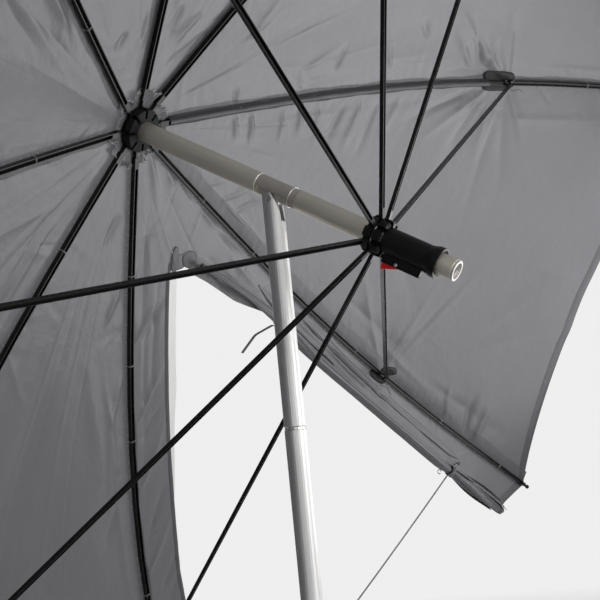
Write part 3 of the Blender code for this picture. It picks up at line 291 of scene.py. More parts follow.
def folds_of(k):
    """The folds of panel k: start and end as (run, across), height, half-width, lead and sharpness."""
    rng = np.random.default_rng(40 + k)
    pick = rng.uniform
    seen = SEEN_FOLDS.get(k, ())
    few = FEWER if len(seen) > MANY else 1.0
    made = []

    def half(run):
        return float(panel_width(k, run)) / 2

    def add(run0, c0, run1, c1, high, wide, lead, sharp):
        made.append((run0, c0, run1, c1, high * MM * rng.choice((-1, 1)), wide * MM, lead, sharp))

    for _ in range(int(11 * few)):
        end, c = pick(0.16, 0.55), pick(-0.8, 0.8)
        add(0.03, c * half(0.03), end, c * half(end), pick(0.15, 0.5), pick(5, 10), 0.3, 0.6)
    for _ in range(int(4 * few)):
        end, c = pick(0.6, 1.1), pick(-0.6, 0.6)
        add(0.06, c * half(0.06), end, c * half(end) * pick(0.6, 1.2), pick(0.4, 0.9), pick(4, 7), 0.3, 0.8)
    for side in (-1, 1):
        for _ in range(6):
            way, long = pick(-1.1, 1.1), pick(0.1, 0.4)
            add(JOINT_RUN, side * half(JOINT_RUN), JOINT_RUN + math.sin(way) * long,
                side * (half(JOINT_RUN) - math.cos(way) * long), pick(1.5, 4.0), pick(8, 18), 0.2, 0.5)
        for _ in range(24):
            run, way, long = pick(0.08, 1.2), pick(0.35, 1.3), pick(0.03, 0.13)
            add(run, side * half(run), run + math.cos(way) * long * rng.choice((-1, 1)),
                side * (half(run) - math.sin(way) * long), pick(0.3, 1.0), pick(4, 9), 0.2, 0.4)
        for _ in range(6):
            run, long = pick(0.1, 0.95), pick(0.15, 0.45)
            c = pick(0.02, 0.08)
            add(run, side * (half(run) - c), run + long, side * (half(run + long) - c * pick(0.5, 1.6)),
                pick(1.2, 3.0), pick(7, 14), 0.4, 0.4)
    for _ in range(int(10 * few)):
        run, long, way = pick(0.12, 1.0), pick(0.2, 0.5), pick(-0.9, 0.9)
        c = pick(-0.7, 0.7) * half(run)
        add(run, c, run + long * math.cos(way), c + long * math.sin(way), pick(2, 5), pick(16, 38), 0.5, 0.15)
    for off, high, wide in GATHERS if k == DOOR[0] else ():
        for run0, run1, shift in ((0.42, 0.8, 0.0), (0.6, 1.07, 0.012)):
            made.append((run0, off * 0.8 - half(run0), run1, off + shift - half(run1), high * MM, wide * MM,
                         0.15, 0.5))
    if seen:
        starts, ends = (found_on(k, [fold[i:i + 2] for fold in seen]) for i in (0, 2))
        for start, end, (high, wide, lead, sharp) in zip(starts, ends, [fold[4:] for fold in seen]):
            thin = THINNER if sharp > SHARP else 1.0
            made.append((*start, *end, high * thin * SEEN_GAIN[k] * MM, wide * thin * MM, lead, sharp))
    return np.array(made)


FOLDS = {k: folds_of(k) for k in range(1, RIBS + 1)}


def wrinkle(k, run, share):
    """How far the cloth of panel k stands inward of its smooth shape."""
    width = panel_width(k, run)
    across = (share - 0.5) * width
    edge = np.minimum(share, 1 - share) * width
    high = np.zeros(np.broadcast(run, share).shape)
    for run0, c0, run1, c1, tall, wide, lead, sharp in FOLDS[k]:
        du, dc = run1 - run0, c1 - c0
        long2 = du * du + dc * dc
        h = ((run - run0) * du + (across - c0) * dc) / long2
        off = ((run - run0) * dc - (across - c0) * du) / math.sqrt(long2)
        x = off / (wide * (0.45 + 0.75 * np.clip(h, 0, 1)))
        body = smooth((h + 0.02) / lead) * smooth((1 - h) / 0.6)
        crest = (1 - sharp) * np.exp(-x * x) + sharp * np.exp(-np.sqrt(x * x + 0.01) * 1.6)
        high += tall * body * crest
    phase = 7 * np.sin(run * 9 + k) + k
    for near, turn in ((share * width, 0.0), ((1 - share) * width, 2.0)):
        ripple = 0.45 * MM * np.sin(run * 2 * math.pi / 0.021 + phase + turn)
        high += ripple * np.exp(-near / 0.016) * (1 - np.exp(-near / 0.004))
    return high * (1 - np.exp(-((edge / 0.011) ** 2)))


def panel(k, run, share, lift=0.0):
    """The cloth itself, with its folds, lifted inward by lift."""
    run, share = np.broadcast_arrays(np.asarray(run, float), np.asarray(share, float))
    e = 0.002
    along = panel_flat(k, run + e, share) - panel_flat(k, run - e, share)
    over = panel_flat(k, run, share + e) - panel_flat(k, run, share - e)
    high = (wrinkle(k, run, share) + lift)[..., None]
    return panel_flat(k, run, share) + inside(np.cross(along, over)) * high


def beside(k, side, run, off, lift=0.0):
    """The cloth at off metres from rib k, on side 1 toward the next rib or -1 toward the one before."""
    share = off / side_width(k, side, run)
    return panel(k, run, share, lift) if side > 0 else panel(step_to(k, -1), run, 1 - share, lift)


# Materials: Principled shaders whose colour, roughness and bump vary by nodes

def mat(name, color, rough, metal=0.0, **inputs):
    m = bpy.data.materials.new(name)
    m.use_nodes = True
    b = m.node_tree.nodes["Principled BSDF"]
    b.inputs["Base Color"].default_value = (*color, 1)
    b.inputs["Roughness"].default_value = rough
    b.inputs["Metallic"].default_value = metal
    for key, value in inputs.items():
        b.inputs[key.replace("_", " ")].default_value = value
    m.diffuse_color = (*color, 1)
    return m, m.node_tree, b


def node(tree, kind, **settings):
    """A node with these settings and inputs, where an input may be another node's output."""
    n = tree.nodes.new(kind)
    for key, value in settings.items():
        if isinstance(value, bpy.types.NodeSocket):
            tree.links.new(value, n.inputs[key])
        elif key in n.inputs:
            n.inputs[key].default_value = value
        else:
            setattr(n, key, value)
    return n


def coords(tree, which="Object", scale=(1, 1, 1), turn=(0, 0, 0)):
    """Texture coordinates in a turned frame, stretched by scale along its axes."""
    place, sizes = node(tree, "ShaderNodeTexCoord").outputs[which], [1 / x for x in scale]
    return node(tree, "ShaderNodeMapping", vector_type="TEXTURE", Vector=place, Scale=sizes,
                Rotation=turn).outputs["Vector"]


def noise(tree, vector, scale, detail=3.0, rough=0.5, **settings):
    return node(tree, "ShaderNodeTexNoise", Vector=vector, Scale=scale, Detail=detail, Roughness=rough,
                **settings).outputs["Fac"]


def ramp(tree, value, low, high, at=(0.0, 1.0)):
    ends = dict(zip(("From Min", "From Max", "To Min", "To Max"), (*at, low, high)))
    return node(tree, "ShaderNodeMapRange", Value=value, **ends).outputs["Result"]


def tint(tree, shader, value, color, darker, lighter):
    """The colour goes from a darker to a lighter share of itself with this value."""
    r = node(tree, "ShaderNodeValToRGB", Fac=value)
    for end, gain, at in zip(r.color_ramp.elements, (darker, lighter), (0.3, 0.7)):
        end.color, end.position = (*[c * gain for c in color], 1), at
    tree.links.new(r.outputs["Color"], shader.inputs["Base Color"])


def bump(tree, shader, *heights):
    """Stacks bumps, each (value, strength, distance)."""
    last = None
    for value, strength, distance in heights:
        b = node(tree, "ShaderNodeBump", Strength=strength, Distance=distance, Height=value)
        if last:
            tree.links.new(last, b.inputs["Normal"])
        last = b.outputs["Normal"]
    tree.links.new(last, shader.inputs["Normal"])


def cloth_mat(name, color, rough=0.42, spread=0.07, glow=None, through=0.3, crisp=0.3):
    """Coated nylon: a weave, soft creases, and some of the light from behind coming through."""
    m, t, b = mat(name, color, rough, Sheen_Weight=0.12, Sheen_Roughness=0.4)
    uv = coords(t, "UV")
    tint(t, b, noise(t, uv, 7, 4), color, 1 - spread, 1 + spread)
    t.links.new(ramp(t, noise(t, uv, 22, 3), rough - 0.06, rough + 0.08), b.inputs["Roughness"])
    warp = noise(t, coords(t, "UV", (2600, 300, 1)), 1, 1)
    weft = noise(t, coords(t, "UV", (300, 2600, 1)), 1, 1)
    soft = noise(t, uv, 30, 4, 0.55)
    slack = noise(t, uv, 75, 3, 0.5)
    ridge = noise(t, coords(t, "UV", (1, 1.6, 1), (0, 0, 0.5)), 5, 1.5, 0.4, noise_type="RIDGED_MULTIFRACTAL",
                  Distortion=0.5)
    bump(t, b, (soft, 0.5, 0.003), (ridge, crisp, 0.004), (slack, 0.3, 0.0008), (warp, 0.3, 0.00012),
         (weft, 0.3, 0.00012))
    if glow:
        normal = b.inputs["Normal"].links[0].from_socket
        behind = node(t, "ShaderNodeBsdfTranslucent", Color=(*glow, 1), Normal=normal)
        both = node(t, "ShaderNodeMixShader", Fac=through)
        t.links.new(b.outputs["BSDF"], both.inputs[1])
        t.links.new(behind.outputs["BSDF"], both.inputs[2])
        t.links.new(both.outputs["Shader"], t.nodes["Material Output"].inputs["Surface"])
    return m


def tube_mat(name, color, rough, turn, metal=0.9):
    """A drawn tube, satin, with fine lines along it."""
    m, t, b = mat(name, color, rough, metal)
    lines = noise(t, coords(t, "Object", (900, 900, 7), turn), 1, 3)
    cloud = noise(t, coords(t, "Object", (30, 30, 12), turn), 1, 4)
    tint(t, b, cloud, color, 0.93, 1.06)
    t.links.new(ramp(t, lines, rough - 0.05, rough + 0.07), b.inputs["Roughness"])
    bump(t, b, (lines, 0.12, 0.00002))
    return m


def grain_mat(name, color, rough, metal=0.0, scale=1400, deep=0.00005, spread=0.12, **inputs):
    m, t, b = mat(name, color, rough, metal, **inputs)
    fine = noise(t, coords(t), scale, 3)
    patch = noise(t, coords(t), 55, 4)
    tint(t, b, patch, color, 1 - spread, 1 + spread)
    t.links.new(ramp(t, patch, rough - 0.05, rough + 0.07), b.inputs["Roughness"])
    bump(t, b, (fine, 0.4, deep))
    return m


UPRIGHT, TILTED = (0, 0, 0), tuple(Matrix(TURN.tolist()).to_euler())
CLOTH = cloth_mat("coated_nylon", (0.112, 0.112, 0.1225), 0.3, glow=(0.5, 0.5, 0.53), through=0.14,
                  crisp=0.42)
# Doubled cloth is the same nylon: its darker base colour is painted shade, and its weaker glow is the light
# that two layers let through.
CLOTH_DOUBLE_SHADED = cloth_mat("coated_nylon_doubled_painted_shade", (0.082, 0.082, 0.09), 0.36, glow=(0.3, 0.3, 0.32),
                         through=0.08)
CLOTH_ROLLED = cloth_mat("coated_nylon_rolled", (0.115, 0.115, 0.124), 0.34)
FILM = cloth_mat("crumpled_film", (0.24, 0.24, 0.25), 0.16, glow=(0.5, 0.5, 0.52), through=0.25, crisp=0.5)
TAPE = cloth_mat("woven_tape", (0.085, 0.085, 0.092), 0.7)
MESH_TAPE = cloth_mat("pale_zip_tape", (0.6, 0.6, 0.6), 0.7, glow=(0.72, 0.72, 0.71), through=0.85)
# The sleeve is the same nylon; its much darker base colour is painted shade, where the rib keeps light from
# coming through.
CLOTH_SLEEVE_SHADED = cloth_mat("coated_nylon_sleeve_painted_shade", (0.032, 0.032, 0.036), 0.36)
# The thread's pale colour is painted light: on the stitches it stands for light through the needle holes, on
# the film's edges it is a painted highlight.
THREAD_AND_GLINT = grain_mat("pale_thread_and_painted_glint", (0.72, 0.72, 0.72), 0.6, scale=3000)
BINDING = grain_mat("clear_binding_thread", (0.34, 0.34, 0.35), 0.3, scale=3000)
CORD = grain_mat("braided_cord", (0.21, 0.215, 0.23), 0.75, scale=900, deep=0.00008)
SATIN = tube_mat("satin_tube_finish", (0.76, 0.72, 0.62), 0.4, TILTED, 0.82)
SATIN_UP = tube_mat("satin_tube_upright", (0.76, 0.72, 0.61), 0.3, UPRIGHT, 0.95)
DRAWN = tube_mat("drawn_aluminium", (0.64, 0.635, 0.63), 0.42, UPRIGHT, 0.86)
BRUSHED = tube_mat("brushed_aluminium", (0.60, 0.56, 0.50), 0.42, TILTED, 0.82)
TURNED = tube_mat("turned_aluminium", (0.62, 0.6, 0.57), 0.46, TILTED, 0.82)
NICKEL = grain_mat("nickel_plate", (0.66, 0.645, 0.62), 0.17, 1.0, scale=900, spread=0.04)
STEEL = grain_mat("zinc_steel", (0.52, 0.52, 0.51), 0.3, 1.0, scale=700, spread=0.05)
COAT = grain_mat("black_powder_coat", (0.0065, 0.006, 0.006), 0.27, scale=1100, deep=0.00009,
                 Specular_IOR_Level=0.34)
PLASTIC = grain_mat("black_moulded_plastic", (0.005, 0.005, 0.0048), 0.34, scale=1500,
                    Specular_IOR_Level=0.28)
HUB_BLACK = grain_mat("black_hub_plastic", (0.012, 0.012, 0.014), 0.62, scale=1500, Specular_IOR_Level=0.2)
SADDLE = grain_mat("black_rubbery_patch", (0.016, 0.016, 0.017), 0.55, scale=1300, Specular_IOR_Level=0.3)
RED = grain_mat("red_plastic_finish", (0.78, 0.012, 0.008), 0.34, scale=1500, spread=0.05)

FINISH = {"satin_tube": SATIN, "pole_tube": DRAWN, "brushed_insert": BRUSHED, "nickel": NICKEL,
          "steel": STEEL, "black_steel": COAT, "black_plastic": PLASTIC, "red_plastic": RED,
          "canopy_cloth": CLOTH, "dark_tape": TAPE, "grey_cord": CORD}
OWN_FINISH = {"inner_pole_tube": SATIN_UP, "hub": HUB_BLACK, "shaft_end_socket": TURNED}
for part in frame["record"]["subparts"]:
    obj = NODES[part["node"]]
    finish = OWN_FINISH.get(part["node"], FINISH[part["material_slot"]])
    obj.data.materials.clear()
    obj.data.materials.append(finish)


# Mesh helpers

def link(mesh, finish):
    """Puts a mesh in the scene, as a piece of the same name."""
    mesh.materials.append(finish)
    obj = bpy.data.objects.new(mesh.name, mesh)
    bpy.context.scene.collection.objects.link(obj)
    return obj


def build(name, points, faces, uv=None):
    """A smooth mesh. Where uv is given, it holds each point's place on the flat cloth."""
    mesh = bpy.data.meshes.new(name)
    mesh.from_pydata([tuple(p) for p in points], [], faces)
    if uv is not None:
        layer = mesh.uv_layers.new(name="cloth")
        index = np.zeros(len(mesh.loops), int)
        mesh.loops.foreach_get("vertex_index", index)
        layer.data.foreach_set("uv", np.asarray(uv, np.float32)[index].ravel())
    mesh.shade_smooth()
    mesh.update()
    return mesh


def flat_grid(rows, cols):
    """Flat places for a grid whose rows and columns are at these places."""
    return np.stack(np.meshgrid(rows, cols, indexing="ij"), -1)


def quads(rows, cols, rows_close=False, cols_close=False):
    """The faces of a grid of points, which may close on itself either way."""
    i, j = np.meshgrid(np.arange(rows - 1 + rows_close), np.arange(cols - 1 + cols_close), indexing="ij")
    here, there, right = i * cols, (i + 1) % rows * cols, (j + 1) % cols
    return np.stack((here + j, here + right, there + right, there + j), -1).reshape(-1, 4).tolist()


def grid_mesh(name, points, uv, normals=None):
    """A sheet through a grid of world points, rows by columns."""
    mesh = build(name, points.reshape(-1, 3), quads(*points.shape[:2]), uv.reshape(-1, 2))
    if normals is not None:
        mesh.normals_split_custom_set_from_vertices([tuple(n) for n in normals.reshape(-1, 3)])
    return mesh


def tube_faces(rings, sides):
    """The faces of a closed body of rings, one after the other, with its two ends."""
    ends = [list(range(sides - 1, -1, -1)), list(range((rings - 1) * sides, rings * sides))]
    return quads(rings, sides, cols_close=True) + ends


def closed_mesh(name, points, uv):
    """A closed body through rings of world points, rings by sides."""
    return build(name, points.reshape(-1, 3), tube_faces(*points.shape[:2]), uv.reshape(-1, 2))


def tube_uv(path, radius, sides):
    """Flat places for a tube along a path."""
    long = np.concatenate(([0], np.cumsum(np.linalg.norm(np.diff(path, axis=0), axis=-1))))
    uv = np.zeros((len(path), sides, 2))
    uv[..., 0] = long[:, None]
    uv[..., 1] = np.linspace(0, 1, sides)[None] * 2 * math.pi * np.broadcast_to(radius, len(path))[:, None]
    return uv


def frames_along(path):
    """Two unit vectors across a path, which don't twist along it."""
    along = unit(np.gradient(path, axis=0))
    one = np.zeros_like(path)
    one[0] = unit(np.cross(along[0], (0.31, 0.52, 0.79)))
    for i in range(1, len(path)):
        one[i] = unit(one[i - 1] - along[i] * np.dot(one[i - 1], along[i]))
    return one, np.cross(along, one)


def ring_ways(one, two, sides):
    """The ways outward round a path, for each of its points."""
    turn = turns(sides)
    return np.cos(turn)[None, :, None] * one[:, None] + np.sin(turn)[None, :, None] * two[:, None]


def tube_mesh(name, path, radius, sides):
    """A closed round tube along a path."""
    points = path[:, None] + ring_ways(*frames_along(path), sides) * radius
    return closed_mesh(name, points, tube_uv(path, radius, sides))


def resampled(points, count):
    """A path of this many points through a few points."""
    points = np.asarray(points, float)
    at = np.linspace(0, len(points) - 1, count)
    return np.stack([np.interp(at, range(len(points)), points[:, i]) for i in range(3)], -1)


def eased(path, times):
    """The path with its corners rounded. Its ends stay."""
    for _ in range(times):
        path[1:-1] = (path[:-2] + path[1:-1] * 2 + path[2:]) / 4
    return path


def beads(name, centres, along, normals, size, high):
    """Small pillow-shaped stitches, in one mesh. Their size is (length, width)."""
    outline = ((-1, 0), (-0.6, 0.9), (0.6, 0.9), (1, 0), (0.6, -0.9), (-0.6, -0.9))
    points, faces = [], []
    for c, a, n in zip(centres, along, normals):
        b = np.cross(n, a)
        first = len(points)
        for x, y in outline:
            points.append(c + a * x * size[0] / 2 + b * y * size[1] / 2 + n * (0.25 * high if y else 0))
        points += [c + n * high, c - n * high * 0.6]
        for j in range(6):
            k = (j + 1) % 6
            faces += [(first + j, first + k, first + 6), (first + k, first + j, first + 7)]
    return build(name, points, faces)


def domes(name, centres, normals, radius, high, sides=12):
    """Round heads of rivets or pins, in one mesh."""
    profile = ((1.0, 0.0), (0.97, 0.45), (0.72, 0.85), (0.35, 0.98))
    points, faces = [], []
    for c, n in zip(world(centres), unit(np.array(normals) @ TURN.T)):
        a = unit(np.cross(n, (0.3, 0.5, 0.81)))
        ways = ring_ways(a[None], np.cross(n, a)[None], sides)[0]
        first, top = len(points), len(points) + len(profile) * sides
        points += [c + way * radius * r + n * high * h for r, h in profile for way in ways]
        points += [c + n * high, c]
        faces += [[first + i for i in face] for face in quads(len(profile), sides, cols_close=True)]
        for i, j in zip(range(sides), (*range(1, sides), 0)):
            faces += [(top - sides + i, top - sides + j, top), (first + j, first + i, top + 1)]
    return build(name, points, faces)


# Pieces that go with a rib

def rib_body(k):
    return f"rib_{k}"


def across_rib(k):
    """The unit vector across rib k, in the shaft frame."""
    turn = turn_of(k)
    return np.array((-math.sin(turn), math.cos(turn), 0))


def rib_frame(k, run):
    """The rib's place, and the unit vectors along it, across it and inward, in the shaft frame."""
    p, across = rib_point(k, run), across_rib(k)
    along = unit(rib_point(k, run + MM) - p)
    return p, along, across, inside(np.cross(along, across))


def fold_with(obj, k):
    """The piece rides rib k, with a mesh of its own."""
    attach(obj, rib_body(k))
    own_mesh(obj)
    return obj


def on_rib(k, mesh, finish):
    """Puts a mesh in the scene, as a piece that folds with rib k."""
    return fold_with(link(mesh, finish), k)


def domed_patch(name, k, side, place, half, lift, thick, finish, power=2.6, turn=0.0):
    """A domed patch on the cloth beside rib k, at (run, off). A higher power makes it squarer."""
    t = turns(36)
    x, y = (np.sign(c) * np.abs(c) ** (2 / power) for c in (np.cos(t), np.sin(t)))
    rho = np.linspace(1, 0.18, 6)[:, None]
    u, v = half[0] * rho * x[None], half[1] * rho * y[None]
    run = place[0] + u * math.cos(turn) - v * math.sin(turn)
    off = np.maximum(place[1] + u * math.sin(turn) + v * math.cos(turn), 0.2 * MM)
    rise = thick * np.sqrt(1 - (0.97 * rho) ** 4) + 0 * run
    run, off, rise = (np.concatenate(pair) for pair in ((run[:1], run), (off[:1], off), (0 * run[:1], rise)))
    points = world(beside(k, side, run, off, lift + rise))
    return on_rib(k, closed_mesh(name, points, np.stack((run, off), -1)), finish)


def cloth_strip(name, k, side, run, off, lifts, finish):
    """A strip that lies on the cloth beside rib k, each of its columns lifted by so many millimetres."""
    points = world(beside(k, side, run, off, np.array(lifts)[None] * MM))
    return on_rib(k, grid_mesh(name, points, np.stack((run, off), -1)), finish)


def edge_strip(name, k, side, runs, inner, outer, lifts, finish):
    """A strip along the doorway's edge, from inner to outer metres past that edge."""
    at = np.linspace(0, 1, len(lifts))
    inner, outer = (np.broadcast_to(edge, runs.shape)[:, None] for edge in (inner, outer))
    off = door_edge(k, runs)[:, None] + inner + (outer - inner) * at[None]
    return cloth_strip(name, k, side, np.repeat(runs[:, None], len(lifts), 1), off, lifts, finish)


def thread_ties(k):
    """Pale thread wound twice round rib k at several places, in one mesh."""
    shift = 0.01 * math.sin(k * 2.4)
    points, faces = [], []
    for run in (0.17 + shift, 0.324 - shift, 0.424 + shift, 0.69, 0.974, 1.16):
        for apart in (-0.6, 0.6):
            p, along, across, inward = rib_frame(k, run + apart * MM)
            path = [p + (across * u + inward * v + along * apart * 0.15 * u / 8) * MM for u, v in TIE_OUTLINE]
            path = resampled(world(path), 28)
            faces += [tuple(len(points) + i for i in face) for face in tube_faces(len(path), 6)]
            points += list((path[:, None] + ring_ways(*frames_along(path), 6) * 0.28 * MM).reshape(-1, 3))
    return on_rib(k, build(f"rib_{k}_thread_ties", points, faces), BINDING)


def rib_sleeve(name, k, run0, run1, finish):
    """Seam cloth folded over the inner face of rib k, as an open channel."""
    run = np.linspace(run0, run1, ROWS)
    p, along, across, inward = rib_frame(k, run)
    cols = []
    for u, v in SLEEVE_OUTLINE:
        swell = u * (1 + 0.08 * np.sin(run * 47 + v) + 0.05 * np.sin(run * 113 + u))
        cols.append(p + (across * swell[:, None] + inward * (v + 0.25 * np.sin(run * 83 + u))[:, None]) * MM)
    uv = flat_grid(run, [u * 1.3 * MM for u, v in SLEEVE_OUTLINE])
    return on_rib(k, grid_mesh(name, world(np.stack(cols, 1)), uv), finish)


# The camera

camera = bpy.data.objects.new("photo_camera", bpy.data.cameras.new("photo_camera"))
bpy.context.scene.collection.objects.link(camera)
camera.data.lens, camera.data.sensor_width = LENS, SENSOR
camera.data.clip_start, camera.data.clip_end = 0.05, 100
right, down = Vector(CAMERA_RIGHT), Vector(CAMERA_DOWN)
axes = Matrix((right, -down, down.cross(right))).transposed().to_4x4()
camera.matrix_world = Matrix.Translation(Vector(CAMERA_AT)) @ axes
bpy.context.scene.camera = camera

# The cord over the doorway, its end over the roll, and its knot

start = roll_middle(TIE_2, TIE_OUTER + CORD_OFF)[0]
far = door_edge(DOOR[1], TIE_2) + CORD_OFF
end = panel_flat(DOOR[0], np.asarray(TIE_2), 1 - far / panel_width(DOOR[0], TIE_2))
share = np.linspace(0, 1, 40)[:, None]
route = world(start + (end - start) * share + np.array((1, 0, 0)) * CORD_SAG * 4 * share * (1 - share))
cord = link(tube_mesh("doorway_cord_rope", route, CORD_R, 8), CORD)
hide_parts("doorway_cord")
fold_with(cord, DOOR[0])

tie_at, tie_inward = roll_middle(TIE_2)
tie_at, tie_inward = world(tie_at), unit(tie_inward @ TURN.T)
tie_way = unit(world(roll_middle(TIE_2 + MM)[0]) - tie_at)
over = tie_at + tie_inward * CORD_OVER + np.cross(tie_way, tie_inward) * 2 * MM
lying = [world(beside(DOOR[0], 1, TIE_2 + past, off, lift)) for past, off, lift in CORD_LYING]
over_roll = eased(resampled((route[0], over, *lying), 36), 6)
cord_end = on_rib(DOOR[0], tube_mesh("doorway_cord_end", over_roll, CORD_R * 0.95, 8), CORD)
t = np.linspace(0, 2 * math.pi, 60)
trefoil = np.stack((np.sin(t) + 2 * np.sin(2 * t), np.cos(t) - 2 * np.cos(2 * t), -np.sin(3 * t)), -1)
knot_path = over_roll[-1] + tie_inward * KNOT_LIFT + trefoil * KNOT_SIZE
knot = on_rib(DOOR[0], tube_mesh("doorway_cord_knot", knot_path, CORD_R * 0.92, 8), CORD)

# The canopy: one sheet for each rib, meeting its neighbours along the middle of each panel


def reach_of(k, side, run):
    """How far rib k's cloth goes on this side: to the middle of the panel, or to the edge of the doorway."""
    half = side_width(k, side, run) / 2
    if (k, side) in ((DOOR[0], 1), (DOOR[1], -1)):
        return np.minimum(half, door_edge(k, run))
    return half


def hem_run(k, side, share):
    """How far along the rib the hem is, at this share of the way from rib k to the edge of its cloth."""
    end = RIB_LENGTH - CLOTH_SHORT
    full = reach_of(k, side, end) / (side_width(k, side, end) / 2)
    share = share * min(1.0, float(full))
    return end - HEM_CURVE * (1 - (1 - share) ** 2)


def gore_grid(k, side):
    """Points, flat places and normals of one side of rib k's cloth, from the rib outwards."""
    u, v = np.linspace(0, 1, COLS + 1), np.linspace(0, 1, ROWS + 1)
    u = np.append(u, 1 + 1 / COLS)
    run = np.stack([hem_run(k, side, min(c, 1.0)) * v for c in u], 1)
    off = reach_of(k, side, run) * u[None] ** BUNCH
    points = world(beside(k, side, run, off))
    normals = unit(np.cross(np.gradient(points, axis=1), np.gradient(points, axis=0))) * side
    return points[:, :-1], np.stack((run, off * side), -1)[:, :-1], normals[:, :-1]


def gore_mesh(k):
    """The cloth of rib k. Each gore has flat places of its own."""
    before, after = gore_grid(k, -1), gore_grid(k, 1)
    points, uv, normals = (np.concatenate((a[:, :0:-1], b), 1) for a, b in zip(before, after))
    normals[:, COLS] = unit(before[2][:, 0] + after[2][:, 0])
    return grid_mesh(f"gore_{k}_cloth", points, uv + np.array((k * 3.0, k * 1.7)), normals)


def seam(k):
    """The seam's spare cloth, folded to one side of the rib."""
    run = np.linspace(0.03, RIB_LENGTH - 0.012, ROWS)
    # Other seams are doubled cloth, whose darker colour is painted shade.
    wide, finish = (0.027, CLOTH) if k == DOOR[0] else (0.0135, CLOTH_DOUBLE_SHADED)
    wide = wide + 0.0012 * np.sin(run * 31 + k) + 0.0008 * np.sin(run * 77 + 2 * k)
    wide = np.minimum(wide, 0.02 * (run / 0.12) + 0.006)
    off = np.linspace(0.0, 1.0, 4)[None] * wide[:, None]
    return cloth_strip(f"seam_{k}_spare_cloth", k, -1, np.repeat(run[:, None], 4, 1), off,
                       (0.25, 0.9, 0.8, 0.35), finish)


def hem(k, side, letter):
    """The canopy's hem on one side of rib k."""
    u = np.linspace(0, 1, COLS // 2 + 1)
    edge_run = np.array([hem_run(k, side, c) for c in u])[:, None]
    edge_reach = reach_of(k, side, edge_run)
    run = edge_run - np.array((0.0005, 0.003, 0.015, 0.018))[None]
    off = edge_reach * u[:, None] ** BUNCH * (reach_of(k, side, run) / edge_reach)
    return cloth_strip(f"hem_{k}_{letter}", k, side, run, off, (0.4, 1.1, 1.0, 0.3), CLOTH_DOUBLE_SHADED)


def stitching(k):
    """The stitches along rib k. Their pale colour is painted light, coming through the needle holes."""
    at = np.arange(0.05, 1.22, STITCH_STEP)
    at = at + np.random.default_rng(k).uniform(-2 * MM, 2 * MM, len(at))
    place, ahead, aside = (world(beside(k, 1, at + past, np.full_like(at, STITCH_OFF + more), 0.3 * MM))
                           for past, more in ((0, 0), (MM, 0), (0, MM)))
    ahead = unit(ahead - place)
    out = unit(np.cross(ahead, aside - place))
    out = out * np.sign(out @ ALONG)[:, None]
    return on_rib(k, beads(f"rib_{k}_stitches", place, ahead, out, (2.4 * MM, 1.1 * MM), 0.35 * MM), THREAD_AND_GLINT)


def joint_trim(k):
    """The thread round the rib, the black tab and base at its joint and its loose thread."""
    ties, sleeves = thread_ties(k), []
    tab_at, tab_half, tab_turn = (JOINT_RUN + 0.013, 0.0155), (0.0215, 0.0072), 0.47
    base_at, base_half = (JOINT_RUN - 0.006, 0.0068), (0.024, 0.0098)
    if k == SLEEVED:
        tab_at, tab_half, tab_turn = (JOINT_RUN - 0.019, 0.0125), (0.036, 0.0125), 0.0
        base_at, base_half = (JOINT_RUN - 0.019, 0.0065), (0.034, 0.0095)
        # The sleeve's dark colour is painted shade.
        sleeves = [rib_sleeve(f"rib_{k}_sleeve", k, 0.032, 0.742, CLOTH_SLEEVE_SHADED),
                   rib_sleeve(f"rib_{k}_joint_cover", k, 0.739, 0.772, SADDLE)]
    tab = domed_patch(f"rib_{k}_joint_tab", k, -1, tab_at, tab_half, 1.4 * MM, 2.6 * MM, SADDLE,
                      turn=tab_turn)
    base = domed_patch(f"rib_{k}_joint_base", k, 1, base_at, base_half, 0.6 * MM, 2.4 * MM, SADDLE)
    loose = np.linspace(0, 1, 24)
    off = 0.011 + 0.006 * loose + 0.002 * np.sin(loose * 9 + k)
    path = world(beside(k, 1, JOINT_RUN + 0.004 + 0.045 * loose, off, MM + 0 * loose))
    thread = on_rib(k, tube_mesh(f"rib_{k}_loose_thread", path, 0.45 * MM, 6), TAPE)
    return [*sleeves, ties, tab, base, thread]


def door_trim(k):
    """The hems, the pale strip and the dark patches along the doorway's edge."""
    if k == DOOR[1]:
        run = np.linspace(0.222, hem_run(k, -1, 1.0) - MM, ROWS)
        left_hem = edge_strip("doorway_left_hem", k, -1, run, -0.0075, 0.0006, (0.3, 1.0, 1.0, 0.3), TAPE)
        run = np.linspace(0.232, 0.6, ROWS)
        wide = 0.0175 * np.minimum(1, (0.62 - run) / 0.2) * np.minimum(1, (run - 0.226) / 0.02)
        pale = edge_strip("doorway_pale_strip", k, -1, run, 0.0009, wide + 0.0003 * np.sin(run * 60),
                          (0.1, 0.6, 0.4, -0.4, 0.2), MESH_TAPE)
        patch = domed_patch("doorway_top_patch_2", k, -1, (0.224, 0.0975), (0.0195, 0.0085), 1.3 * MM,
                            0.7 * MM, CLOTH_DOUBLE_SHADED, power=2.2)
        return [left_hem, pale, patch]
    if k == DOOR[0]:
        run = np.linspace(0.228, 0.484, ROWS)
        droop = 0.0006 + 0.018 * smooth((run - 0.228) / 0.05) * (1 - smooth((run - 0.38) / 0.1))
        right_hem = edge_strip("doorway_right_hem", k, 1, run, -0.015, droop, (0.3, 1.0, 0.9, 0.8, 0.3),
                               CLOTH_ROLLED)
        patch = domed_patch("doorway_top_patch_1", k, 1, (0.246, 0.0825), (0.0165, 0.0135), 0.9 * MM,
                            0.7 * MM, CLOTH_DOUBLE_SHADED, power=2.2, turn=0.5)
        # A cloth patch over the doorway's apex: partly real cloth, partly a sheet standing in for the shade
        # behind the apex.
        web = domed_patch("doorway_top_web_and_shade", k, 1, (0.2345, 0.0975), (0.015, 0.014), 0.4 * MM, 0.5 * MM,
                          CLOTH, power=2.4, turn=0.6)
        return [right_hem, patch, web]
    return []


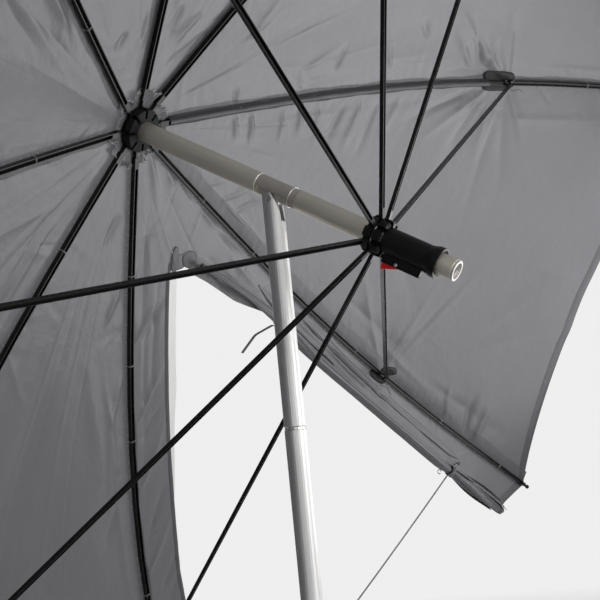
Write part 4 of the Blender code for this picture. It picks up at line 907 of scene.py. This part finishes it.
for k in range(1, RIBS + 1):
    gore = link(gore_mesh(k), CLOTH)
    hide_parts(f"canopy_gore_{k}")
    extra = [seam(k), hem(k, -1, "a"), hem(k, 1, "b"), stitching(k), *joint_trim(k), *door_trim(k)]
    fold_with(gore, k)

# The crumpled film round the hub, in eight lobes


def crown_film(k):
    """One lobe of the film, and a pale tube along its torn edge, a painted highlight."""
    rng = np.random.default_rng(70 + k)
    w, t = np.linspace(-1, 1, 37), np.linspace(0, 1, 7)
    rim = 0.0285 + 0.0045 * np.sin(4 * w + rng.uniform(0, 6)) + rng.uniform(-0.0028, 0.0028, len(w))
    run = FILM_FROM + t[:, None] * (rim - FILM_FROM)[None]
    pleat = 0.5 * np.abs(np.sin(4.2 * w * math.pi / 2 + rng.uniform(0, 3)))
    pleat += 0.5 * np.abs(np.sin(7.3 * w + rng.uniform(0, 3)))
    crush = rng.uniform(0, 1, (len(t), len(w))) * t[:, None]
    halves = []
    for side, part in ((-1, w <= 0), (1, w > 0)):
        r = run[:, part]
        off = np.abs(w[part])[None] * side_width(k, side, r) / 2
        puff = (0.2 + 0.5 * pleat[part][None] + 0.6 * crush[:, part]) * (t**0.8)[:, None]
        halves.append(beside(k, side, r, off, (0.8 + 5.6 * smooth((off / MM - 3.8) / 4.5) * puff) * MM))
    points = world(np.concatenate(halves, 1))
    sheet = grid_mesh(f"crown_{k}_film", points, np.stack((run, np.broadcast_to(w * 0.03, run.shape)), -1))
    sheet.shade_flat()
    film = link(sheet, FILM)
    # The pale tube along the edge is a painted highlight.
    edge = link(tube_mesh(f"crown_{k}_film_edge_painted_highlight", points[-1], 0.2 * MM, 5), THREAD_AND_GLINT)
    return film, fold_with(edge, k)


for k in range(1, RIBS + 1):
    film, edge = crown_film(k)
    fold_with(film, k)

# Rivet heads at the ribs' joints

for k in range(1, RIBS + 1):
    p, along, across, inward = rib_frame(k, JOINT_RUN)
    places = [p + inward * JOINT_DROP] + [p + along * step + inward * 1.2 * MM for step in (0.0085, -0.0085)]
    centres = [place + across * side * 4.15 * MM for side in (-1, 1) for place in places]
    normals = [across * side for side in (-1, 1) for place in places]
    rivets = link(domes(f"rib_{k}_rivets", centres, normals, 1.7 * MM, 0.9 * MM), NICKEL)
    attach(rivets, rib_body(k))

# The rolled door


def roll_frame(run):
    """The roll's middle line, and the unit vectors along it and two across it, in the world."""
    middle, inward = roll_middle(run)
    middle = world(middle)
    along = unit(np.gradient(middle, axis=0))
    one = unit(np.cross(along, inward @ TURN.T))
    return middle, along, one, np.cross(one, along)


run = np.linspace(ROLL_FROM, ROLL_TO, ROLL_ROWS)
middle, along, one, two = roll_frame(run)
radius = ROLL_R * between(ROLL_SIZES, (run - ROLL_FROM) / (ROLL_TO - ROLL_FROM))
for tie in (TIE_1, TIE_2):
    near = smooth(np.minimum(1, np.abs(run - tie) / 0.048))
    radius = np.minimum(radius, ROLL_R * (TIED_SHARE + (1 - TIED_SHARE) * near))
rng = np.random.default_rng(5)
turn = turns(ROLL_SIDES)
swell = np.ones((ROLL_ROWS, ROLL_SIDES))
for count, tall in ROLL_FOLDS:
    phase = rng.uniform(0, 6.28) + count * 0.12 * np.sin(run * rng.uniform(5, 11)) + run * rng.uniform(-2, 2)
    swell += tall * (1 - 2 * np.abs(np.sin((count * turn[None] + phase[:, None]) / 2)))
points = middle[:, None] + ring_ways(one, two, ROLL_SIDES) * (radius[:, None] * swell)[..., None]
roll = link(closed_mesh("door_rolled_up", points, tube_uv(middle, radius, ROLL_SIDES)), CLOTH_ROLLED)
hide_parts("door_roll")
fold_with(roll, DOOR[0])


def strap(name, path, across, width, thick):
    """A flat tape along a path, as a closed band."""
    across = unit(across)
    up = unit(np.cross(unit(np.gradient(path, axis=0)), across))
    corners = [path + across * a * width / 2 + up * b * thick / 2
               for a, b in ((-1, -1), (-0.8, 1), (0.8, 1), (1, -1))]
    return link(closed_mesh(name, np.stack(corners, 1), tube_uv(path, width / 6, 4)), TAPE)


tail_path = eased(resampled(TIE_TAIL, 30), 1)
tail = strap("door_tie_1_loose_end", tail_path, np.array((0.3, 0.9, 0.3)), 5 * MM, 0.8 * MM)
fold_with(tail, DOOR[0])
for number, tie in ((1, TIE_1), (2, TIE_2)):
    middle, along, one, two = (rows[1] for rows in roll_frame(tie + np.array((-2, 0, 2)) * MM))
    t = np.linspace(0, 2 * math.pi, 40)[:, None]
    path = middle + (np.cos(t) * one + np.sin(t) * two) * ROLL_R * 0.86 + along * 1.5 * MM * t / (2 * math.pi)
    band = strap(f"door_tie_{number}_tape", path, along, 11 * MM, 0.9 * MM)
    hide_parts(f"door_tie_{number}")
    fold_with(band, DOOR[0])


def leaf(name, tie, to, turn, wide, out):
    """A pointed fold of the roll's cloth which opens past a tie, as a closed thin body round the roll."""
    t, w = np.linspace(0, 1, 26), np.linspace(-1, 1, 9)
    middle, along, one, two = roll_frame(tie + (to - tie) * t)
    up, aside = math.cos(turn) * one + math.sin(turn) * two, math.cos(turn) * two - math.sin(turn) * one
    spine = middle + up * (ROLL_R * 0.72 + out * np.sin(t * math.pi))[:, None]
    half = wide / 2 * (0.12 + 0.88 * np.sin(np.minimum(t * 1.12, 1) * math.pi * 0.56) ** 1.3)
    bow = (1 - w[None] ** 2) * 2.2 * MM * t[:, None] + 0.8 * MM * np.sin(w[None] * 5 + t[:, None] * 7)
    spread = spine[:, None] + aside[:, None] * (half[:, None] * w[None])[..., None]
    outer, inner = (spread + up[:, None] * (bow + shift)[..., None] for shift in (0.5 * MM, -0.5 * MM))
    uv = flat_grid(t, np.concatenate((w, w[::-1])) * wide)
    return on_rib(DOOR[0], closed_mesh(name, np.concatenate((outer, inner[:, ::-1]), 1), uv), CLOTH_ROLLED)


def gathered_fold(name, runs, offs, half, thick):
    """A flattened soft fold of the gathered door, lying on the strip beside the rib, as a closed body."""
    t, q = np.linspace(0, 1, 120)[:, None], turns(24)[None]
    run = runs[0] + (runs[1] - runs[0]) * t
    ends = np.minimum(1, np.minimum(t / 0.12, (1 - t) / 0.06) + 0.12)
    wave = 1 + 0.1 * np.sin(run * 23) + 0.06 * np.sin(run * 61 + 1)
    off = offs[0] + (offs[1] - offs[0]) * t + half * ends * wave * np.cos(q)
    dent = 1 - 0.35 * np.exp(-(((np.cos(q) - 0.25 * np.sin(run * 9)) / 0.16) ** 2))
    rise = 0.5 + 0.5 * np.sign(np.sin(q)) * np.abs(np.sin(q)) ** 0.7 * dent * wave
    run = run + 0 * q
    points = world(beside(DOOR[0], 1, run, np.maximum(off, 0.001), 0.5 * MM + thick * ends * rise))
    obj = on_rib(DOOR[0], closed_mesh(name, points, np.stack((run, off), -1)), CLOTH_ROLLED)


gathered_fold("door_gathered_fold_1", (0.4, 1.08), (0.032, 0.06), 0.0105, 4.5 * MM)
gathered_fold("door_gathered_fold_2", (0.52, 1.075), (0.018, 0.042), 0.0065, 3.0 * MM)

for n, (tie, to, turn, wide, out) in enumerate(LEAVES):
    piece = leaf(f"door_roll_fold_{n + 1}", tie, to, turn, wide, out)

# The eyelet by the second tie
t = np.linspace(0.5, 5.9, 40)[:, None]
fall_way = unit(np.array((0, 0, -1.0)) + tie_way * tie_way[2])
eye = tie_at + np.array(EYELET_FROM_TIE) + (np.cos(t) * tie_way + np.sin(t) * fall_way) * EYELET_R
on_rib(DOOR[0], tube_mesh("doorway_eyelet", eye, MM, 8), NICKEL)

# The rolled rim of the lower tube, and the heads of the catch's pins

RIM_STEPS, RIM_SIDES = 72, 10
t, q = turns(RIM_STEPS)[:, None], turns(RIM_SIDES)[None]
r = RIM_R + RIM_WIRE * np.cos(q)
points = world(np.stack((r * np.cos(t), r * np.sin(t), RIM_AT + RIM_WIRE * np.sin(q) + 0 * t), -1))
rim_faces = quads(RIM_STEPS, RIM_SIDES, True, True)
rim = link(build("lower_tube_rim", points.reshape(-1, 3), rim_faces), NICKEL)
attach(rim, "shaft")

centres = [(PIN_HEAD_LOW, side * PIN_HEAD_OUT, RUNNER_PLANE + PIN_HEAD_PAST) for side in (-1, 1)]
heads = domes("runner_pin_heads", centres, [(0, side, 0) for side in (-1, 1)], 2.2 * MM, 0.8 * MM)
screws = link(heads, STEEL)
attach(screws, "runner")

# The stage, the lights and the end


def joined(tree, operation, one, two):
    m = node(tree, "ShaderNodeMath", operation=operation)
    tree.links.new(one, m.inputs[0])
    tree.links.new(two, m.inputs[1])
    return m.outputs["Value"]


def plain_rays(tree):
    """1 for the rays that see the plain background: the camera's, and those of gloss and glass."""
    rays = node(tree, "ShaderNodeLightPath").outputs
    seen = joined(tree, "MAXIMUM", rays["Is Camera Ray"], rays["Is Glossy Ray"])
    return joined(tree, "MAXIMUM", seen, rays["Is Transmission Ray"])


def mixed(tree, share, one, two, surface):
    """Gives a surface the mix of two shaders, by a share that another node makes."""
    both = node(tree, "ShaderNodeMixShader")
    for k, value in enumerate((share, one, two)):
        tree.links.new(value, both.inputs[k])
    tree.links.new(both.outputs["Shader"], surface)


# The floor rises at its rim, and turns into plain white there
rise = np.linspace(0, math.pi / 2, 14)
sweep = [(FLOOR_R + SWEEP_R * math.sin(t), SWEEP_R * (1 - math.cos(t))) for t in rise]
sweep.append((FLOOR_R + SWEEP_R, 14.0))
points = [(r * math.cos(t), r * math.sin(t), z + FLOOR_AT) for t in turns(FLOOR_SIDES) for r, z in sweep]
points.append((0, 0, FLOOR_AT))
faces = quads(FLOOR_SIDES, len(sweep), rows_close=True)
for i in range(FLOOR_SIDES):
    faces.append((i * len(sweep), (i + 1) % FLOOR_SIDES * len(sweep), len(points) - 1))
floor = bpy.data.objects.new("floor", build("floor", points, faces))
bpy.context.scene.collection.objects.link(floor)
floor_mat, tree, shader = mat("pale_floor", PALE, 0.9)
place = node(tree, "ShaderNodeNewGeometry").outputs["Position"]
length = node(tree, "ShaderNodeVectorMath", operation="LENGTH", Vector=place).outputs["Value"]
seen = joined(tree, "MULTIPLY", ramp(tree, length, 0, 1, (2.5, 5.0)), plain_rays(tree))
white = node(tree, "ShaderNodeEmission", Color=(*PALE, 1), Strength=1.0)
mixed(tree, seen, shader.outputs["BSDF"], white.outputs["Emission"],
      tree.nodes["Material Output"].inputs["Surface"])
floor.data.materials.append(floor_mat)

sky = bpy.context.scene.world or bpy.data.worlds.new("studio")
bpy.context.scene.world = sky
sky.use_nodes = True
tree = sky.node_tree
around = tree.nodes["Background"]
around.inputs["Color"].default_value = (0.52, 0.52, 0.525, 1)
around.inputs["Strength"].default_value = 1.0
behind = node(tree, "ShaderNodeBackground", Color=(*PALE, 1), Strength=1.0)
mixed(tree, plain_rays(tree), around.outputs["Background"], behind.outputs["Background"],
      tree.nodes["World Output"].inputs["Surface"])


def lamp(name, at, aim, size, power):
    """A soft box. Its size is (width, height), with the width level."""
    light = bpy.data.lights.new(name, "AREA")
    light.shape, light.energy = "RECTANGLE", power
    light.size, light.size_y = size
    obj = bpy.data.objects.new(name, light)
    bpy.context.scene.collection.objects.link(obj)
    obj.location = at
    obj.rotation_mode = "QUATERNION"
    obj.rotation_quaternion = (Vector(aim) - Vector(at)).to_track_quat("-Z", "Y")
    obj.visible_camera = False


lamp("overhead", (0.367, -0.354, 2.146), (0.1, -0.2, 1.3), (0.9, 0.9), 9)
lamp("key", (-2.6, 0.2, 1.15), (0.0, 0.0, 0.95), (1.3, 1.6), 18)
lamp("fill", (-0.9, 1.9, 1.7), (0.0, 0.0, 1.2), (1.2, 1.2), 2.5)
lamp("below_right", (-0.498, -0.798, 0.992), (0.1, -0.2, 1.3), (0.9, 0.7), 3.6)

bpy.context.scene.view_settings.view_transform = "Standard"
